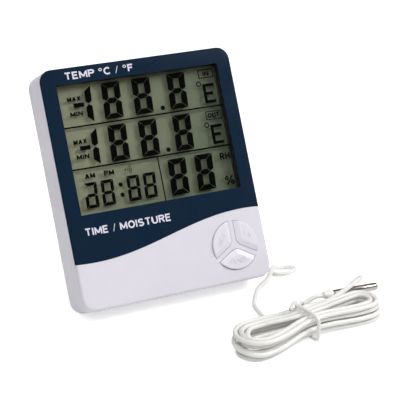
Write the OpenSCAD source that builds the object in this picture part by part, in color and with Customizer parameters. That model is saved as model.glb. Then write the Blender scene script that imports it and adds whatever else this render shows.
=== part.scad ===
// Desk thermo-hygrometer with a large display, three keys in a circle and an outdoor probe on a tied cord.
// The case leans back on its stand. X runs to the right, Y to the back and Z up, from the middle of the footprint.

/* [Case] */
// Width of the case
case_w = 94.5; // [92:0.5:104]
// Height of the case
case_h = 110; // [106:0.5:118]
// Depth of the case, front to back
case_d = 20; // [20:0.25:23]
// Depth of the front half, from the face to the parting line
front_d = 10; // [9.5:0.25:11]
// Wall of the sides and of the back
case_wall = 1.8; // [1.5:0.1:2]
// Wall of the front, which carries the dark panel
front_wall = 2.2; // [2:0.1:2.4]
// Radius of the four corners seen from the front
corner_r = 6; // [5:0.5:7]
// Rounding of the front edge
front_edge_r = 1.5; // [1:0.1:1.8]
// Rounding of the back edge
back_edge_r = 2; // [1.5:0.1:2.4]
// How far the case leans back, in degrees
lean = 26.64; // [20:0.5:32]
// Height of the rim that locates one half in the other
lip_h = 1; // [0.6:0.1:1.4]
// Thickness of that rim
lip_t = 0.8; // [0.6:0.1:1]

/* [Front panel and window] */
// Width of the dark band beside the window
window_side = 7.3; // [7:0.1:9]
// Distance from the top of the case to the window
window_top = 7.5; // [7.5:0.25:9]
// Distance from the bottom of the case to the window
window_low = 43.2; // [42.6:0.2:46]
// Thickness of the dark panel
panel_t = 0.8; // [0.6:0.1:1]
// How far the panel's face lies behind the pale lower face
panel_step = 0.15; // [0.05:0.05:0.3]
// Height of the middle of the panel's wavy lower edge
wave_z = 27.4; // [25:0.5:30]
// Rise and fall of the wavy edge
wave_h = 5.9; // [3:0.1:7]

/* [Display] */
// Thickness of each display glass
glass_t = 1.1; // [0.7:0.1:1.2]
// Air between the rear glass and the reflector
reflector_gap = 0.8; // [0.4:0.1:0.9]
// Thickness of the reflector sheet
reflector_t = 0.4; // [0.2:0.1:0.5]
// How far the display glass runs under the liner at the sides and the top
glass_margin = 1.9; // [1.5:0.1:2]
// Width of the ledge of bare front glass below the rear glass
contact_ledge = 2.1; // [1.9:0.1:2.2]
// Thickness of the rubber contact strip
contact_t = 1.4; // [1:0.1:1.6]
// Distance from the ends of the contact strip to the sides of the window
contact_inset = 5; // [2:0.5:14]

/* [Keys] */
// Distance from the right side of the case to the middle of the circle of keys
keys_side = 16.3; // [16.2:0.1:19]
// Height of the middle of the circle of keys
keys_z = 17.2; // [17:0.1:18]
// Radius of the circle of keys
keys_r = 11.6; // [10.5:0.1:11.8]
// Width of the arms between the keys
arm_w = 2.06; // [1.8:0.02:2.4]
// Gap between a key and the case
key_gap = 0.14; // [0.1:0.02:0.2]
// How far a key stands out of the face
key_proud = 1; // [0.6:0.1:1.2]
// Width of the slope along a key's straight edges
key_slope_w = 2.25; // [1.5:0.05:2.6]
// How much of a key's inner tip is cut off
key_tip_cut = 0.65; // [0.3:0.05:1]
// How far a key goes in
key_travel = 0.8; // [0.5:0.1:0.9]
// Distance from the middle of the circle to the middle of a key's stem
stem_dist = 6.8; // [6.4:0.1:7]
// Radius of a key's stem
stem_r = 2.2; // [1.6:0.1:2.4]
// Radius of a rubber dome
dome_r = 3; // [2.6:0.1:3.2]

/* [Circuit board] */
// Gap between the circuit board and the side walls
board_side = 4.15; // [4:0.05:5.4]
// Gap between the board's upper edge and the battery bay
board_gap = 6.3; // [4.5:0.1:8]
// Height of the board's lower edge
board_z = 4; // [3.5:0.1:4.4]
// Thickness of the circuit board
board_t = 1.4; // [1:0.1:1.6]
// Distance from the face to the front of the board
board_y = 7.6; // [7.6:0.1:8]
// Thickness of the rubber mat between keys and board
mat_t = 1; // [0.8:0.1:1.2]

/* [Battery bay] */
// Length of the battery cell
cell_len = 44.5; // [43:0.5:45]
// Diameter of the battery cell
cell_d = 10.5; // [10:0.1:10.6]
// Distance from the top of the case to the middle of the bay
bay_down = 38; // [36:0.5:39]
// Length of the bay inside
bay_w = 49.2; // [49:0.1:50]
// Width of the bay inside
bay_h = 13; // [12.5:0.1:13.4]
// Wall of the bay
bay_wall = 1.2; // [1:0.1:1.2]
// Length of the battery door
door_w = 52; // [51.6:0.1:52.6]
// Width of the battery door
door_h = 16; // [15.6:0.1:16.4]
// Thickness of the battery door
door_t = 1.4; // [1.3:0.05:1.5]
// Radius of the door's hinge pins
door_pin_r = 0.5; // [0.4:0.05:0.6]

/* [Stand] */
// Width of the stand
stand_w = 34; // [30:0.5:36]
// Height of the folded stand's foot above the bottom of the case
stand_foot = 6; // [5.4:0.1:6.2]
// Thickness of the stand
stand_t = 2.4; // [2:0.1:2.6]
// Distance from the top of the case to the hinge
hinge_down = 52; // [51.5:0.25:53]
// Radius of the stub pins
stub_r = 1.1; // [0.9:0.05:1.15]
// Length of a stub pin
stub_len = 1.3; // [1:0.1:1.5]
// Radial clearance of the stub pins
stub_gap = 0.06; // [0.03:0.01:0.09]
// Depth of the recess that takes the stand
recess_d = 3; // [2.9:0.1:3.2]

/* [Back] */
// Radius of the keyhole's round part
keyhole_r = 4; // [3.5:0.1:4.5]
// Width of the keyhole's slot
keyhole_slot = 4.2; // [3.6:0.1:5]
// Distance from the top of the case to the middle of the keyhole's round part
keyhole_down = 21; // [19:0.5:22]
// Length of the keyhole's slot
keyhole_len = 8; // [6:0.5:9]
// Number of vent slots
vent_count = 5; // [3:1:5]
// Length of a vent slot
vent_len = 12; // [8:0.5:13]
// Width of a vent slot
vent_w = 1.6; // [1:0.1:1.8]
// Distance between vent slots
vent_pitch = 3.4; // [3:0.1:3.8]
// Radius of the two small buttons
button_r = 1.5; // [1.2:0.1:1.8]
// How far the small buttons go in
button_travel = 0.8; // [0.5:0.1:0.9]

/* [Screws] */
// Distance of the case screws from the sides of the case
screw_side = 5.65; // [5.45:0.05:5.85]
// Height of the lower case screws
screw_z = 5.5; // [5.3:0.05:5.8]
// Distance between the lower and the upper case screws
screw_rise = 29; // [27:0.5:29.5]
// Radius of a case screw's shank
screw_r = 1.05; // [0.9:0.05:1.15]
// Radius of a screw boss
boss_r = 2.5; // [2.3:0.05:2.6]
// Radius of a case screw's head
head_r = 1.8; // [1.6:0.05:1.9]

/* [Cord and hank] */
// Diameter of the cord
cord_d = 2.2; // [2:0.1:2.3]
// Distance of the cord's grommet from the right side of the case
grommet_side = 11.25; // [10.75:0.25:12.25]
// Height of the grommet on the back
grommet_z = 10; // [9.5:0.25:10.5]
// How far the grommet stands out
grommet_out = 3; // [2.5:0.25:4]
// Half the distance between the middles of the hank's two ends
hank_half = 30.6; // [28:0.2:32]
// Radius of the inner loop at the left end of the hank
hank_left_r = 4.4; // [4:0.1:5]
// Radius of the inner loop at the right end of the hank
hank_right_r = 2.8; // [2.8:0.1:4]
// Distance between neighbouring loops
loop_step = 2.85; // [2.85:0.05:3.1]
// Diameter of the cord that ties the hank
tie_d = 1.7; // [1.2:0.1:1.8]

/* [Probe] */
// Diameter of the steel tube
probe_d = 3.5; // [3:0.1:3.6]
// Length of the steel tube
probe_len = 26.4; // [22:0.2:30]
// Length of the moulded collar
collar_len = 5; // [4:0.5:6]
// Diameter of the collar at the tube
collar_d = 3.9; // [3.8:0.1:4]

/* [Hidden] */
$fn = 48;

// Colours
pale = "#dedae4";
navy = "#1b2d40";
black = "#222022";
glass = "#9aa58a";
reflector_colour = "#7d8468";
white = "#f1f0ec";
rubber_grey = "#8c8c90";
board_green = "#2f6b3c";
steel = "#c9cacc";
brass = "#c8a860";
cell_colour = "#4a4c52";

// Where the leaning case stands: on its rounded lower back edge, with its box centred on the origin
lean_s = sin(lean);
lean_c = cos(lean);
case_z = (case_d - back_edge_r) * lean_s - back_edge_r * lean_c + back_edge_r;
box_front = front_edge_r * (lean_c + lean_s - 1);
box_back = (case_d - back_edge_r) * lean_c + (case_h - back_edge_r) * lean_s + back_edge_r;
case_y = -(box_front + box_back) / 2;
function placed(p) = [p.x, case_y + p.z * lean_s + p.y * lean_c, case_z + p.z * lean_c - p.y * lean_s];

// Places tied to the outside of the case
window_w = case_w - 2 * window_side;
window_h = case_h - window_top - window_low;
window_z = window_low + window_h / 2;
inner_w = case_w - 2 * case_wall;
inner_h = case_h - 2 * case_wall;
keys_x = case_w / 2 - keys_side;
grommet_x = case_w / 2 - grommet_side;
screw_x = case_w / 2 - screw_side;
bay_z = case_h - bay_down;
hinge_z = case_h - hinge_down;
keyhole_z = case_h - keyhole_down;
stand_len = hinge_z - stand_foot;
board_w = inner_w - 2 * board_side;
board_top = bay_z - bay_h / 2 - bay_wall - board_gap;
board_h = board_top - board_z;
wave_from = 10;
wave_to = case_w - 9.5;
glass_low = glass_margin - 0.4;

// Depths behind the face, layer by layer
panel_back = panel_step + panel_t;
liner_back = front_wall + 0.4;
glass_back = liner_back + glass_t;
glass2_back = glass_back + glass_t;
reflector_y = glass2_back + reflector_gap;
reflector_back = reflector_y + reflector_t;
holder_back = reflector_back + 0.6;
board_back = board_y + board_t;
mat_y = board_y - mat_t;
back_in = case_d - case_wall;

// Keys: the flange lies behind the wall, the stem ends on the dome, the dome stops above the board
key_angles = [150, 30, 270];
flange_y = front_wall + 0.2;
flange_t = 1;
flange_grow = 0.6;
stem_end = mat_y - 1.6;
dome_back = board_y - key_travel - 0.1;
function stem_at(angle) = [keys_x + stem_dist * cos(angle), keys_z + stem_dist * sin(angle)];

// Battery bay: the cell lies against the bay's floor, just under the door
door_in = case_d - door_t;
cell_gap = 0.05;
cell_y = door_in - cell_gap - cell_d / 2;
bay_floor = cell_y - cell_d / 2 - cell_gap;
nub_len = 0.8;
nub_r = 2.4;
contact_plate = 0.4;
plate_w = cell_d - 1.5;
cell_x = bay_w / 2 - contact_plate - cell_len / 2;
spring_room = bay_w - contact_plate - cell_len;
spring_wire = 0.5;
spring_turns = 4;
door_gap = 0.1;
knuckle_r = 0.75;
door_axis = [-door_w / 2 + 0.9, case_d - 0.8];

// Stand
knuckle = stand_t / 2 + 0.05;
hinge_y = case_d - recess_d + knuckle + 0.05;
hinge_drop = placed([0, hinge_y, hinge_z]).z - knuckle;
stand_angle = lean + acos(hinge_drop / stand_len);
recess_gap = 0.3;
recess_wall = 1.7;
recess_w = stand_w + 2 * recess_gap;
recess_top = hinge_z + knuckle + recess_gap;
recess_bottom = hinge_z - stand_len - knuckle - recess_gap;
recess_y = case_d - recess_d;

// Places on the board and in the back, from the sides of the case and from the board's two edges
vent_in = 15.75;
vent_down = 17;
vent_x = vent_in - case_w / 2;
vent_z = board_top - vent_down;
buttons_in = 20.25;
buttons_down = 7;
buttons_apart = 8;
reset_at = [case_w / 2 - buttons_in, board_top - buttons_down];
unit_at = reset_at - [0, buttons_apart];
thermistor_down = 3;
thermistor_at = [vent_x + 1.5, board_top - thermistor_down];
sensor_down = 12;
sensor_at = [vent_x, board_top - sensor_down];
sensor_size = [6, 7.6];
sensor_h = 2.2;
chip_up = 22;
chip_at = [-2, board_z + chip_up];
crystal_down = 10;
crystal_at = [14, board_top - crystal_down];
switch_w = 6;
switch_h = 3.4;
button_gap = 0.08;

// Posts of the board: two low ones and two high ones, with the buzzer between the left pair
post_in = 14.25;
post_up = 8;
post_down = 25;
post_left = post_in - case_w / 2;
post_right = keys_x - keys_r - 7.35;
post_low = board_z + post_up;
post_high = board_top - post_down;
post_r = 2;
board_screw_r = 0.9;
board_posts = [for (x = [post_left, post_right], z = [post_low, post_high]) [x, z]];
buzzer_at = [post_left + 7.5, (post_low + post_high) / 2];
screw_places = [for (x = [-screw_x, screw_x], z = [screw_z, screw_z + screw_rise]) [x, z]];
head_y = case_d - 6;

// Free stretch from the grommet to the hank, after its straight start: points chosen by hand on the ground
exit_at = placed([grommet_x, case_d + grommet_out, grommet_z]);
exit_dir = [0, lean_c, -lean_s];
cord_points = [
    [36.8, 0.4, 2.3], [39.6, 4.4, 1.3], [44, 6.6, 1.1], [49, 6.2, 1.1], [53.2, 3.4, 1.1],
    [56, -1.4, 1.1], [55.6, -7.52, 1.1], [55.54, -11.72, 1.1], [55.47, -15.92, 1.1], [55.42, -20.29, 1.35],
    [56.31, -22.98, 2.05], [58.58, -24.83, 2.8], [61.58, -25.12, 3.25], [64.29, -23.63, 3.2], [65.65, -20.85, 2.65],
    [65.22, -17.87, 1.95], [63.26, -15.69, 1.5], [60.62, -14.92, 1.65], [58.27, -15.46, 2.45], [56.48, -16.93, 3.5],
    [54.62, -19.28, 4], [52.45, -22.03, 3.7], [47.85, -26.4, 2.2], [43.49, -28.99, 1.4], [38.9, -33.48, 1.1],
    [34.01, -40.68, 1.1], [30.73, -47.64, 1.1], [29.4, -61.2, 1.1], [30, -67.4, 1.4], [32.2, -72.2, 2.1],
    [35.4, -74.6, 2.8]
];
// Stretch from the hank to the probe: out over the probe, down at the bend, back under it and round to the collar
end_points = [
    [46.6, -71.6, 9.9], [50.4, -69.9, 8.9], [54.6, -68.2, 8], [59.4, -66.2, 7.5], [66, -62.8, 7.4], [72.4, -59.2, 7.4],
    [78.2, -55.9, 7.5], [83.1, -53.1, 7.4], [84.9, -50.4, 6.5], [84.4, -47.9, 4.2], [82, -47.1, 2], [79.1, -48.5, 1.1],
    [75.6, -51, 1.1], [71.4, -54.6, 1.1], [67.4, -58, 1.1], [63.4, -61.6, 1.1], [59.2, -64.8, 1.1],
    [54.8, -66.6, 1.1], [50.6, -67, 1.1], [47.2, -65.4, 1.1], [45.6, -62.4, 1.3], [46.6, -59.4, 2], [49.4, -57.9, 3.2],
    [53, -57.8, 4.6]
];
probe_at = [60.6, -57.4, 5.3];
probe_dir = unit([0.987, 0.119, -0.108]);

// Hank: loops spiral in and out, a layer at a time, and climb where the spiral reverses
hank_at = [41.3, -79.4];
hank_turn = 8.8;
hank_layers = 4;
layer_loops = 2;
hank_from = 0.25;
hank_to = hank_layers * layer_loops + hank_from;
rings_a_loop = 24;
waist_lift = 1.9;
waist_layer = 2.4;
end_layer = 2.72;
end_pull = 0.7;
arc_part = 0.125;
run_part = 0.5 - 2 * arc_part;

function unit(v) = v / norm(v);
function ease(t) = let (c = min(max(t, 0), 1)) c * c * (3 - 2 * c);
function mix(a, b, t) = a + (b - a) * t;
// Number of the layer at turn u, with the climb in the half turn round a reversal
function layer_at(u) =
    let (k = round(u / layer_loops), off = u - k * layer_loops)
    k > 0 && k < hank_layers && abs(off) < arc_part
        ? k - 1 + ease((off + arc_part) / (2 * arc_part))
        : min(floor(u / layer_loops), hank_layers - 1);
// Loops from the innermost one at turn u: in on even layers, out on odd ones
function loops_out(u) =
    let (j = min(floor(u / layer_loops), hank_layers - 1), v = u - layer_loops * j)
    j % 2 == 0 ? layer_loops - v : v;
// A point of the hank before it is turned and moved: [along, across, how much it belongs to an end]
function end_arc(side, r, t) = [side * (hank_half + r * cos(t)), -side * r * sin(t), 1];
function run(side, r0, r1, q, t) =
    let (g = pow(sin(180 * t), 2), r = mix(r0, r1, ease(t)))
    [side * hank_half * (2 * t - 1), side * (r * (1 - g) + loop_step * q * g), 1 - g];
function flat_point(u) =
    let (q = loops_out(u), ph = u - floor(u), rl = hank_left_r + loop_step * q, rr = hank_right_r + loop_step * q)
    ph < arc_part ? end_arc(-1, rl, 90 * ph / arc_part)
    : ph < arc_part + run_part ? run(1, rl, rr, q, (ph - arc_part) / run_part)
    : ph < 1 - arc_part - run_part ? end_arc(1, rr, 90 * (ph - 0.5) / arc_part)
    : ph < 1 - arc_part ? run(-1, rr, rl, q, (ph - 1 + arc_part + run_part) / run_part)
    : end_arc(-1, rl, 90 * (ph - 1) / arc_part);
function hank_point(u) =
    let (
        p = flat_point(u),
        e = p[2],
        layer = layer_at(u),
        x = p.x - end_pull * layer * e * sign(p.x),
        z = cord_d / 2 + waist_lift * (1 - e) + layer * mix(waist_layer, end_layer, e)
    )
    on_hank([x, p.y, z]);
function on_hank(p) = [
    hank_at.x + p.x * cos(hank_turn) - p.y * sin(hank_turn),
    hank_at.y + p.x * sin(hank_turn) + p.y * cos(hank_turn),
    p.z
];
hank_rings = round((hank_to - hank_from) * rings_a_loop);
hank_points = [for (i = [0:hank_rings]) hank_point(mix(hank_from, hank_to, i / hank_rings))];
hank_in_dir = unit(hank_points[1] - hank_points[0]);
hank_out_dir = unit(hank_points[hank_rings] - hank_points[hank_rings - 1]);

// Least gap of the hank to itself, between points and middles that lie more than four steps apart
hank_samples = [for (i = [0:2 * hank_rings]) (hank_points[floor(i / 2)] + hank_points[ceil(i / 2)]) / 2];
hank_gap = min([
    for (i = [0:len(hank_samples) - 5])
        min([for (j = [i + 4:len(hank_samples) - 1]) norm(hank_samples[i] - hank_samples[j])])
]) - cord_d;
echo(hank_gap = hank_gap);

// A smooth line through hand-chosen points, with two steps from each point to the next
function curve_point(p, i, t) =
    let (
        b = p[i],
        c = p[i + 1],
        a = i == 0 ? 2 * b - c : p[i - 1],
        d = i + 2 < len(p) ? p[i + 2] : 2 * c - b
    )
    (2 * b + (c - a) * t + (2 * a - 5 * b + 4 * c - d) * t * t + (3 * b - a - 3 * c + d) * pow(t, 3)) / 2;
function curve(p, steps = 2) = concat(
    [for (i = [0:len(p) - 2], k = [0:steps - 1]) curve_point(p, i, k / steps)],
    [p[len(p) - 1]]
);
function cord_path() = concat(
    [exit_at],
    curve(concat(
        [exit_at + cord_d * exit_dir, exit_at + 2.4 * cord_d * exit_dir],
        cord_points,
        [hank_points[0] - cord_d * hank_in_dir]
    )),
    [hank_points[0]]
);
function end_path() = concat(
    [hank_points[hank_rings]],
    curve(concat(
        [hank_points[hank_rings] + cord_d * hank_out_dir],
        end_points,
        [probe_at - 2 * cord_d * probe_dir, probe_at - cord_d * probe_dir]
    )),
    [probe_at]
);
function length_of(p) = len(p) < 2 ? 0 : norm(p[1] - p[0]) + length_of([for (i = [1:len(p) - 1]) p[i]]);
echo(cord_length = length_of(cord_path()) + length_of(hank_points) + length_of(end_path()));

// Tie: once round the waist and over itself, with two short ends
tie_half = loop_step * layer_loops + cord_d / 2 + tie_d / 2 + 0.95;
tie_low = tie_d / 2;
tie_high = cord_d + waist_lift + waist_layer * (hank_layers - 1) + tie_d / 2 + 0.5;
tie_rings = 28;
tie_square = 6;
tie_start = 60;
tie_sweep = 352;
function tie_round(t) =
    let (c = cos(t), s = sin(t), half_h = (tie_high - tie_low) / 2)
    [
        mix(-1, 1, (t - tie_start) / 360),
        sign(c) * tie_half * pow(abs(c), 2 / tie_square),
        tie_low + half_h + sign(s) * half_h * pow(abs(s), 2 / tie_square)
    ];
tie_points = [
    for (p = concat(
        [[-9.5, 2.5, tie_high + 1.2], [-6, 5.6, tie_high + 1.3], [-2.8, 8, tie_high + 0.6]],
        [for (i = [0:tie_rings]) tie_round(tie_start - tie_sweep * i / tie_rings)],
        [[2.6, tie_half + 1.2, tie_high - 1.6], [4, tie_half + 2.2, tie_high - 4], [4.6, tie_half + 2.4, tie_high - 6.4]]
    )) on_hank(p)
];

// Helpers

// Draws what follows in the case's own frame: x from the middle, y back from the face, z up from the bottom
module leaned() {
    translate([0, case_y, case_z])
        rotate([-lean, 0, 0])
            children();
}

// Extrudes an outline seen from the front between two depths
module deep(y0, y1) {
    translate([0, y1, 0])
        rotate([90, 0, 0])
            linear_extrude(y1 - y0)
                children();
}

// Cylinder along Y between two depths
module rod(at, r, y0, y1) {
    translate([at.x, y0, at.y])
        rotate([-90, 0, 0])
            cylinder(r = r, h = y1 - y0);
}

// Rectangle with round corners, on its middle
module rounded(w, h, r) {
    square([w, h - 2 * r], center = true);
    square([w - 2 * r, h], center = true);
    for (x = [-1, 1], y = [-1, 1])
        translate([x * (w / 2 - r), y * (h / 2 - r)])
            circle(r);
}

// The window's outline grown by a margin at the sides, the bottom and the top
module window_outline(side, bottom, top, r = 0.5) {
    translate([0, window_z + (top - bottom) / 2])
        rounded(window_w + 2 * side, window_h + bottom + top, r);
}

module inner_outline(grow = 0) {
    translate([0, case_h / 2])
        rounded(inner_w + 2 * grow, inner_h + 2 * grow, corner_r - case_wall + grow);
}

function edge_arc(x, y, r, from, to) =
    [for (i = [0:4]) let (a = mix(from, to, i / 4)) [x + r * cos(a), y + r * sin(a)]];

// The whole closed case as one block with its rounded edges
module case_block() {
    profile = concat(
        [[0, 0]],
        edge_arc(corner_r - front_edge_r, front_edge_r, front_edge_r, -90, 0),
        edge_arc(corner_r - back_edge_r, case_d - back_edge_r, back_edge_r, 0, 90),
        [[0, case_d]]
    );
    hull()
        for (x = [-1, 1], z = [corner_r, case_h - corner_r])
            translate([x * (case_w / 2 - corner_r), 0, z])
                rotate([-90, 0, 0])
                    rotate_extrude($fn = 32)
                        polygon(profile);
}

// Everything above the wavy edge
module panel_region(gap = 0) {
    steps = 36;
    far = case_w / 2 + 2;
    polygon(concat(
        [for (i = [0:steps]) let (x = mix(-far, far, i / steps))
            [x, wave_z + gap - wave_h * cos(180 * (x + case_w / 2 - wave_from) / (wave_to - wave_from))]],
        [[far, case_h + 2], [-far, case_h + 2]]
    ));
}

// One third of the key circle between two arms, less a gap
module key_outline(angle, r, inset) {
    reach = 2 * keys_r;
    tip = (arm_w / 2 + inset) / sin(60);
    cut = key_tip_cut;
    translate([keys_x, keys_z])
        intersection() {
            circle(r, $fn = 96);
            rotate(angle)
                translate([tip, 0])
                    polygon([
                        [cut, -cut * tan(60)],
                        [reach, -reach * tan(60)],
                        [reach, reach * tan(60)],
                        [cut, cut * tan(60)]
                    ]);
        }
}

// Tube of triangles along a line of points
function tangent(p, i) =
    let (last = len(p) - 1)
    unit(unit(p[min(i + 1, last)] - p[min(i, last - 1)]) + unit(p[max(i, 1)] - p[max(i - 1, 0)]));
function across(v, t) = unit(v - (v * t) * t);
function normals(p) = [
    for (
        i = 0, n = across([0.1, 0.2, 1], tangent(p, 0));
        i < len(p);
        n = across(n, tangent(p, min(i + 1, len(p) - 1))), i = i + 1
    ) n
];
module tube(p, r, sides) {
    n = normals(p);
    points = [
        for (i = [0:len(p) - 1])
            let (t = tangent(p, i), b = cross(t, n[i]))
            for (k = [0:sides - 1])
                p[i] + r * (cos(360 * k / sides) * n[i] + sin(360 * k / sides) * b)
    ];
    skin = [
        for (i = [0:len(p) - 2], k = [0:sides - 1])
            let (a = i * sides + k, b = i * sides + (k + 1) % sides)
            for (f = [[a, a + sides, b + sides], [a, b + sides, b]]) f
    ];
    polyhedron(points, concat(
        [[for (k = [0:sides - 1]) k]],
        skin,
        [[for (k = [1:sides]) len(p) * sides - k]]
    ));
}

// Screw along Y with a cross in its head
module screw(at, shank, head, y_tip, y_head, head_t) {
    slot = 0.5;
    difference() {
        union() {
            rod(at, shank, y_tip, y_head + head_t / 2);
            rod(at, head, y_head, y_head + head_t);
        }
        for (a = [0, 90])
            translate([at.x, y_head + head_t, at.y])
                rotate([0, a, 0])
                    cube([1.4 * head, head_t, slot], center = true);
    }
}

// Case

module front_case() {
    color(pale)
        leaned()
            difference() {
                union() {
                    difference() {
                        case_block();
                        deep(front_d, case_d + 1)
                            square(3 * case_h, center = true);
                        deep(front_wall, front_d + 1)
                            inner_outline();
                    }
                    for (at = screw_places)
                        rod(at, boss_r, front_wall - 0.2, front_d);
                    for (at = board_posts)
                        rod(at, post_r, front_wall - 0.2, board_y);
                }
                deep(-1, panel_back)
                    panel_region();
                deep(-1, front_wall + 1)
                    window_outline(2.3, 2.3, 2.3);
                for (angle = key_angles)
                    deep(-1, front_wall + 1)
                        key_outline(angle, keys_r, 0);
                for (at = screw_places)
                    rod(at, screw_r, front_wall + 1.8, front_d + 1);
                for (at = board_posts)
                    rod(at, board_screw_r, front_wall + 1.2, board_y + 1);
            }
}

module front_panel() {
    color(navy)
        leaned()
            difference() {
                intersection() {
                    case_block();
                    deep(panel_step, panel_back)
                        panel_region(0.05);
                }
                deep(-1, front_wall)
                    window_outline(0, 0, 0);
            }
}

module rear_cover() {
    color(pale)
        leaned()
            difference() {
                union() {
                    difference() {
                        case_block();
                        deep(-1, front_d)
                            square(3 * case_h, center = true);
                        deep(front_d - 1, back_in)
                            inner_outline();
                    }
                    cover_rim();
                    recess_box();
                    bay_box();
                    for (at = screw_places)
                        rod(at, boss_r, front_d + 0.1, back_in + 0.2);
                }
                stand_recess();
                bay_space();
                keyhole();
                vents();
                for (at = screw_places) {
                    rod(at, screw_r + 0.15, front_d, case_d);
                    rod(at, head_r + 0.2, head_y, case_d + 1);
                }
                for (at = [reset_at, unit_at])
                    rod(at, button_r + button_gap, front_d, case_d + 1);
                rod([grommet_x, grommet_z], cord_d, front_d, case_d + 1);
            }
}

// Rim that locates the cover in the front half
module cover_rim() {
    difference() {
        union() {
            deep(front_d, front_d + 1.5)
                inner_outline(0.4);
            deep(front_d - lip_h, front_d + 1)
                inner_outline(-0.1);
        }
        deep(front_d - lip_h - 1, case_d)
            inner_outline(-0.1 - lip_t);
    }
}

module recess_box() {
    deep(recess_y - case_wall, case_d - 1)
        translate([0, (recess_top + recess_bottom) / 2])
            square([recess_w + 2 * recess_wall, recess_top - recess_bottom + 2 * recess_wall], center = true);
}

// Room for the folded stand, with its two pin holes
module stand_recess() {
    deep(recess_y, case_d + 1)
        translate([0, (recess_top + recess_bottom) / 2])
            square([recess_w, recess_top - recess_bottom], center = true);
    translate([-stand_w / 2 - stub_len - 0.3, hinge_y, hinge_z])
        rotate([0, 90, 0])
            cylinder(r = stub_r + stub_gap, h = stand_w + 2 * stub_len + 0.6);
}

module bay_box() {
    deep(bay_floor - bay_wall, case_d - 1)
        translate([0, bay_z])
            square([bay_w + 2 * bay_wall, bay_h + 2 * bay_wall], center = true);
}

// Inside of the battery bay, the seat of the door, its pin holes and the finger scoop
module bay_space() {
    seat_w = door_w + 2 * door_gap;
    seat_h = door_h + 2 * door_gap;
    scoop_r = 4;
    deep(bay_floor, case_d)
        translate([0, bay_z])
            square([bay_w, bay_h], center = true);
    deep(door_in, case_d + 1)
        translate([0, bay_z])
            square([seat_w, seat_h], center = true);
    deep(door_axis.y - knuckle_r - 0.1, door_in + 0.1)
        translate([-seat_w / 2 + 0.9, bay_z])
            square([1.8, seat_h], center = true);
    translate([door_axis.x, door_axis.y, bay_z - door_h / 2 - 1.1])
        cylinder(r = door_pin_r + 0.05, h = door_h + 2.2);
    deep(case_d - 1.1, case_d + 1)
        translate([seat_w / 2, bay_z])
            circle(scoop_r);
}

module keyhole() {
    rod([0, keyhole_z], keyhole_r, front_d, case_d + 1);
    rod([0, keyhole_z + keyhole_len], keyhole_slot / 2, front_d, case_d + 1);
    deep(front_d, case_d + 1)
        translate([0, keyhole_z + keyhole_len / 2])
            square([keyhole_slot, keyhole_len], center = true);
}

module vents() {
    for (i = [0:vent_count - 1])
        deep(front_d, case_d + 1)
            translate([vent_x, vent_z + i * vent_pitch])
                rounded(vent_len, vent_w, vent_w / 2 - 0.01);
}

module case_screws() {
    color(steel)
        leaned()
            for (at = screw_places)
                screw(at, screw_r, head_r, front_wall + 2, head_y, 1.5);
}

// Display

module lcd_bezel() {
    color(black)
        leaned()
            difference() {
                union() {
                    deep(panel_back, liner_back)
                        window_outline(2.2, 2.2, 2.2);
                    deep(front_wall, liner_back + 0.8)
                        window_outline(3.8, 5.2, 3.6);
                }
                deep(-1, case_d)
                    window_outline(0, 0, 0);
                deep(liner_back, case_d)
                    window_outline(glass_margin + 0.15, glass_margin + contact_ledge + 0.15, glass_margin + 0.15);
            }
}

module lcd_front_glass() {
    color(glass, 0.35)
        leaned()
            deep(liner_back, glass_back)
                window_outline(glass_margin, glass_low + contact_ledge, glass_margin, 0.2);
}

module lcd_rear_glass() {
    color(glass, 0.35)
        leaned()
            deep(glass_back, glass2_back)
                window_outline(glass_margin, glass_low, glass_margin, 0.2);
}

module lcd_reflector() {
    color(reflector_colour)
        leaned()
            deep(reflector_y, reflector_back)
                window_outline(0.1, 0.1, 0.1, 0.2);
}

// Tray behind the glasses, with a skirt on three sides that rests against the liner
module lcd_holder() {
    skirt = glass_margin + 0.7;
    color(black)
        leaned()
            difference() {
                union() {
                    deep(glass2_back, holder_back)
                        window_outline(skirt, glass_low + 0.1, skirt);
                    deep(liner_back + 0.8, glass2_back + 0.2)
                        difference() {
                            window_outline(skirt, glass_low + 0.1, skirt);
                            window_outline(glass_margin + 0.1, glass_margin + 2, glass_margin + 0.1);
                        }
                }
                deep(0, reflector_back)
                    window_outline(0.2, 0.2, 0.2);
            }
}

module contact_strip() {
    strip_z = window_z - window_h / 2 - glass_low - contact_ledge / 2;
    color(rubber_grey)
        leaned()
            deep(glass_back, board_y)
                translate([0, strip_z])
                    square([window_w - 2 * contact_inset, contact_t], center = true);
}

// Circuit board and what it carries

module circuit_board() {
    color(board_green)
        leaned()
            difference() {
                deep(board_y, board_back)
                    translate([0, board_z + board_h / 2])
                        square([board_w, board_h], center = true);
                for (at = screw_places)
                    rod(at, boss_r + 0.5, board_y - 1, board_back + 1);
                for (at = board_posts)
                    rod(at, board_screw_r + 0.2, board_y - 1, board_back + 1);
            }
}

module board_screws() {
    color(steel)
        leaned()
            for (at = board_posts)
                screw(at, board_screw_r, 2 * board_screw_r, front_wall + 1.4, board_back, 1);
}

module chip_blob() {
    blob_r = 6;
    blob_h = 1.6;
    color(black)
        leaned()
            translate([chip_at.x, board_back, chip_at.y])
                rotate([-90, 0, 0])
                    rotate_extrude()
                        polygon(concat(
                            [[0, 0]],
                            [for (a = [0:15:90]) [blob_r * cos(a), blob_h * sin(a)]]
                        ));
}

module quartz_crystal() {
    can_r = 1;
    can_len = 6;
    color(steel)
        leaned()
            difference() {
                translate([crystal_at.x - can_len / 2, board_back + can_r * 0.9, crystal_at.y])
                    rotate([0, 90, 0])
                        cylinder(r = can_r, h = can_len);
                deep(0, board_back)
                    square(3 * case_h, center = true);
            }
}

module buzzer() {
    disc_r = 6;
    disc_h = 3.4;
    color(black)
        leaned()
            difference() {
                rod(buzzer_at, disc_r, board_back, board_back + disc_h);
                rod(buzzer_at, 1, board_back + 1, board_back + disc_h + 1);
            }
}

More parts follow.
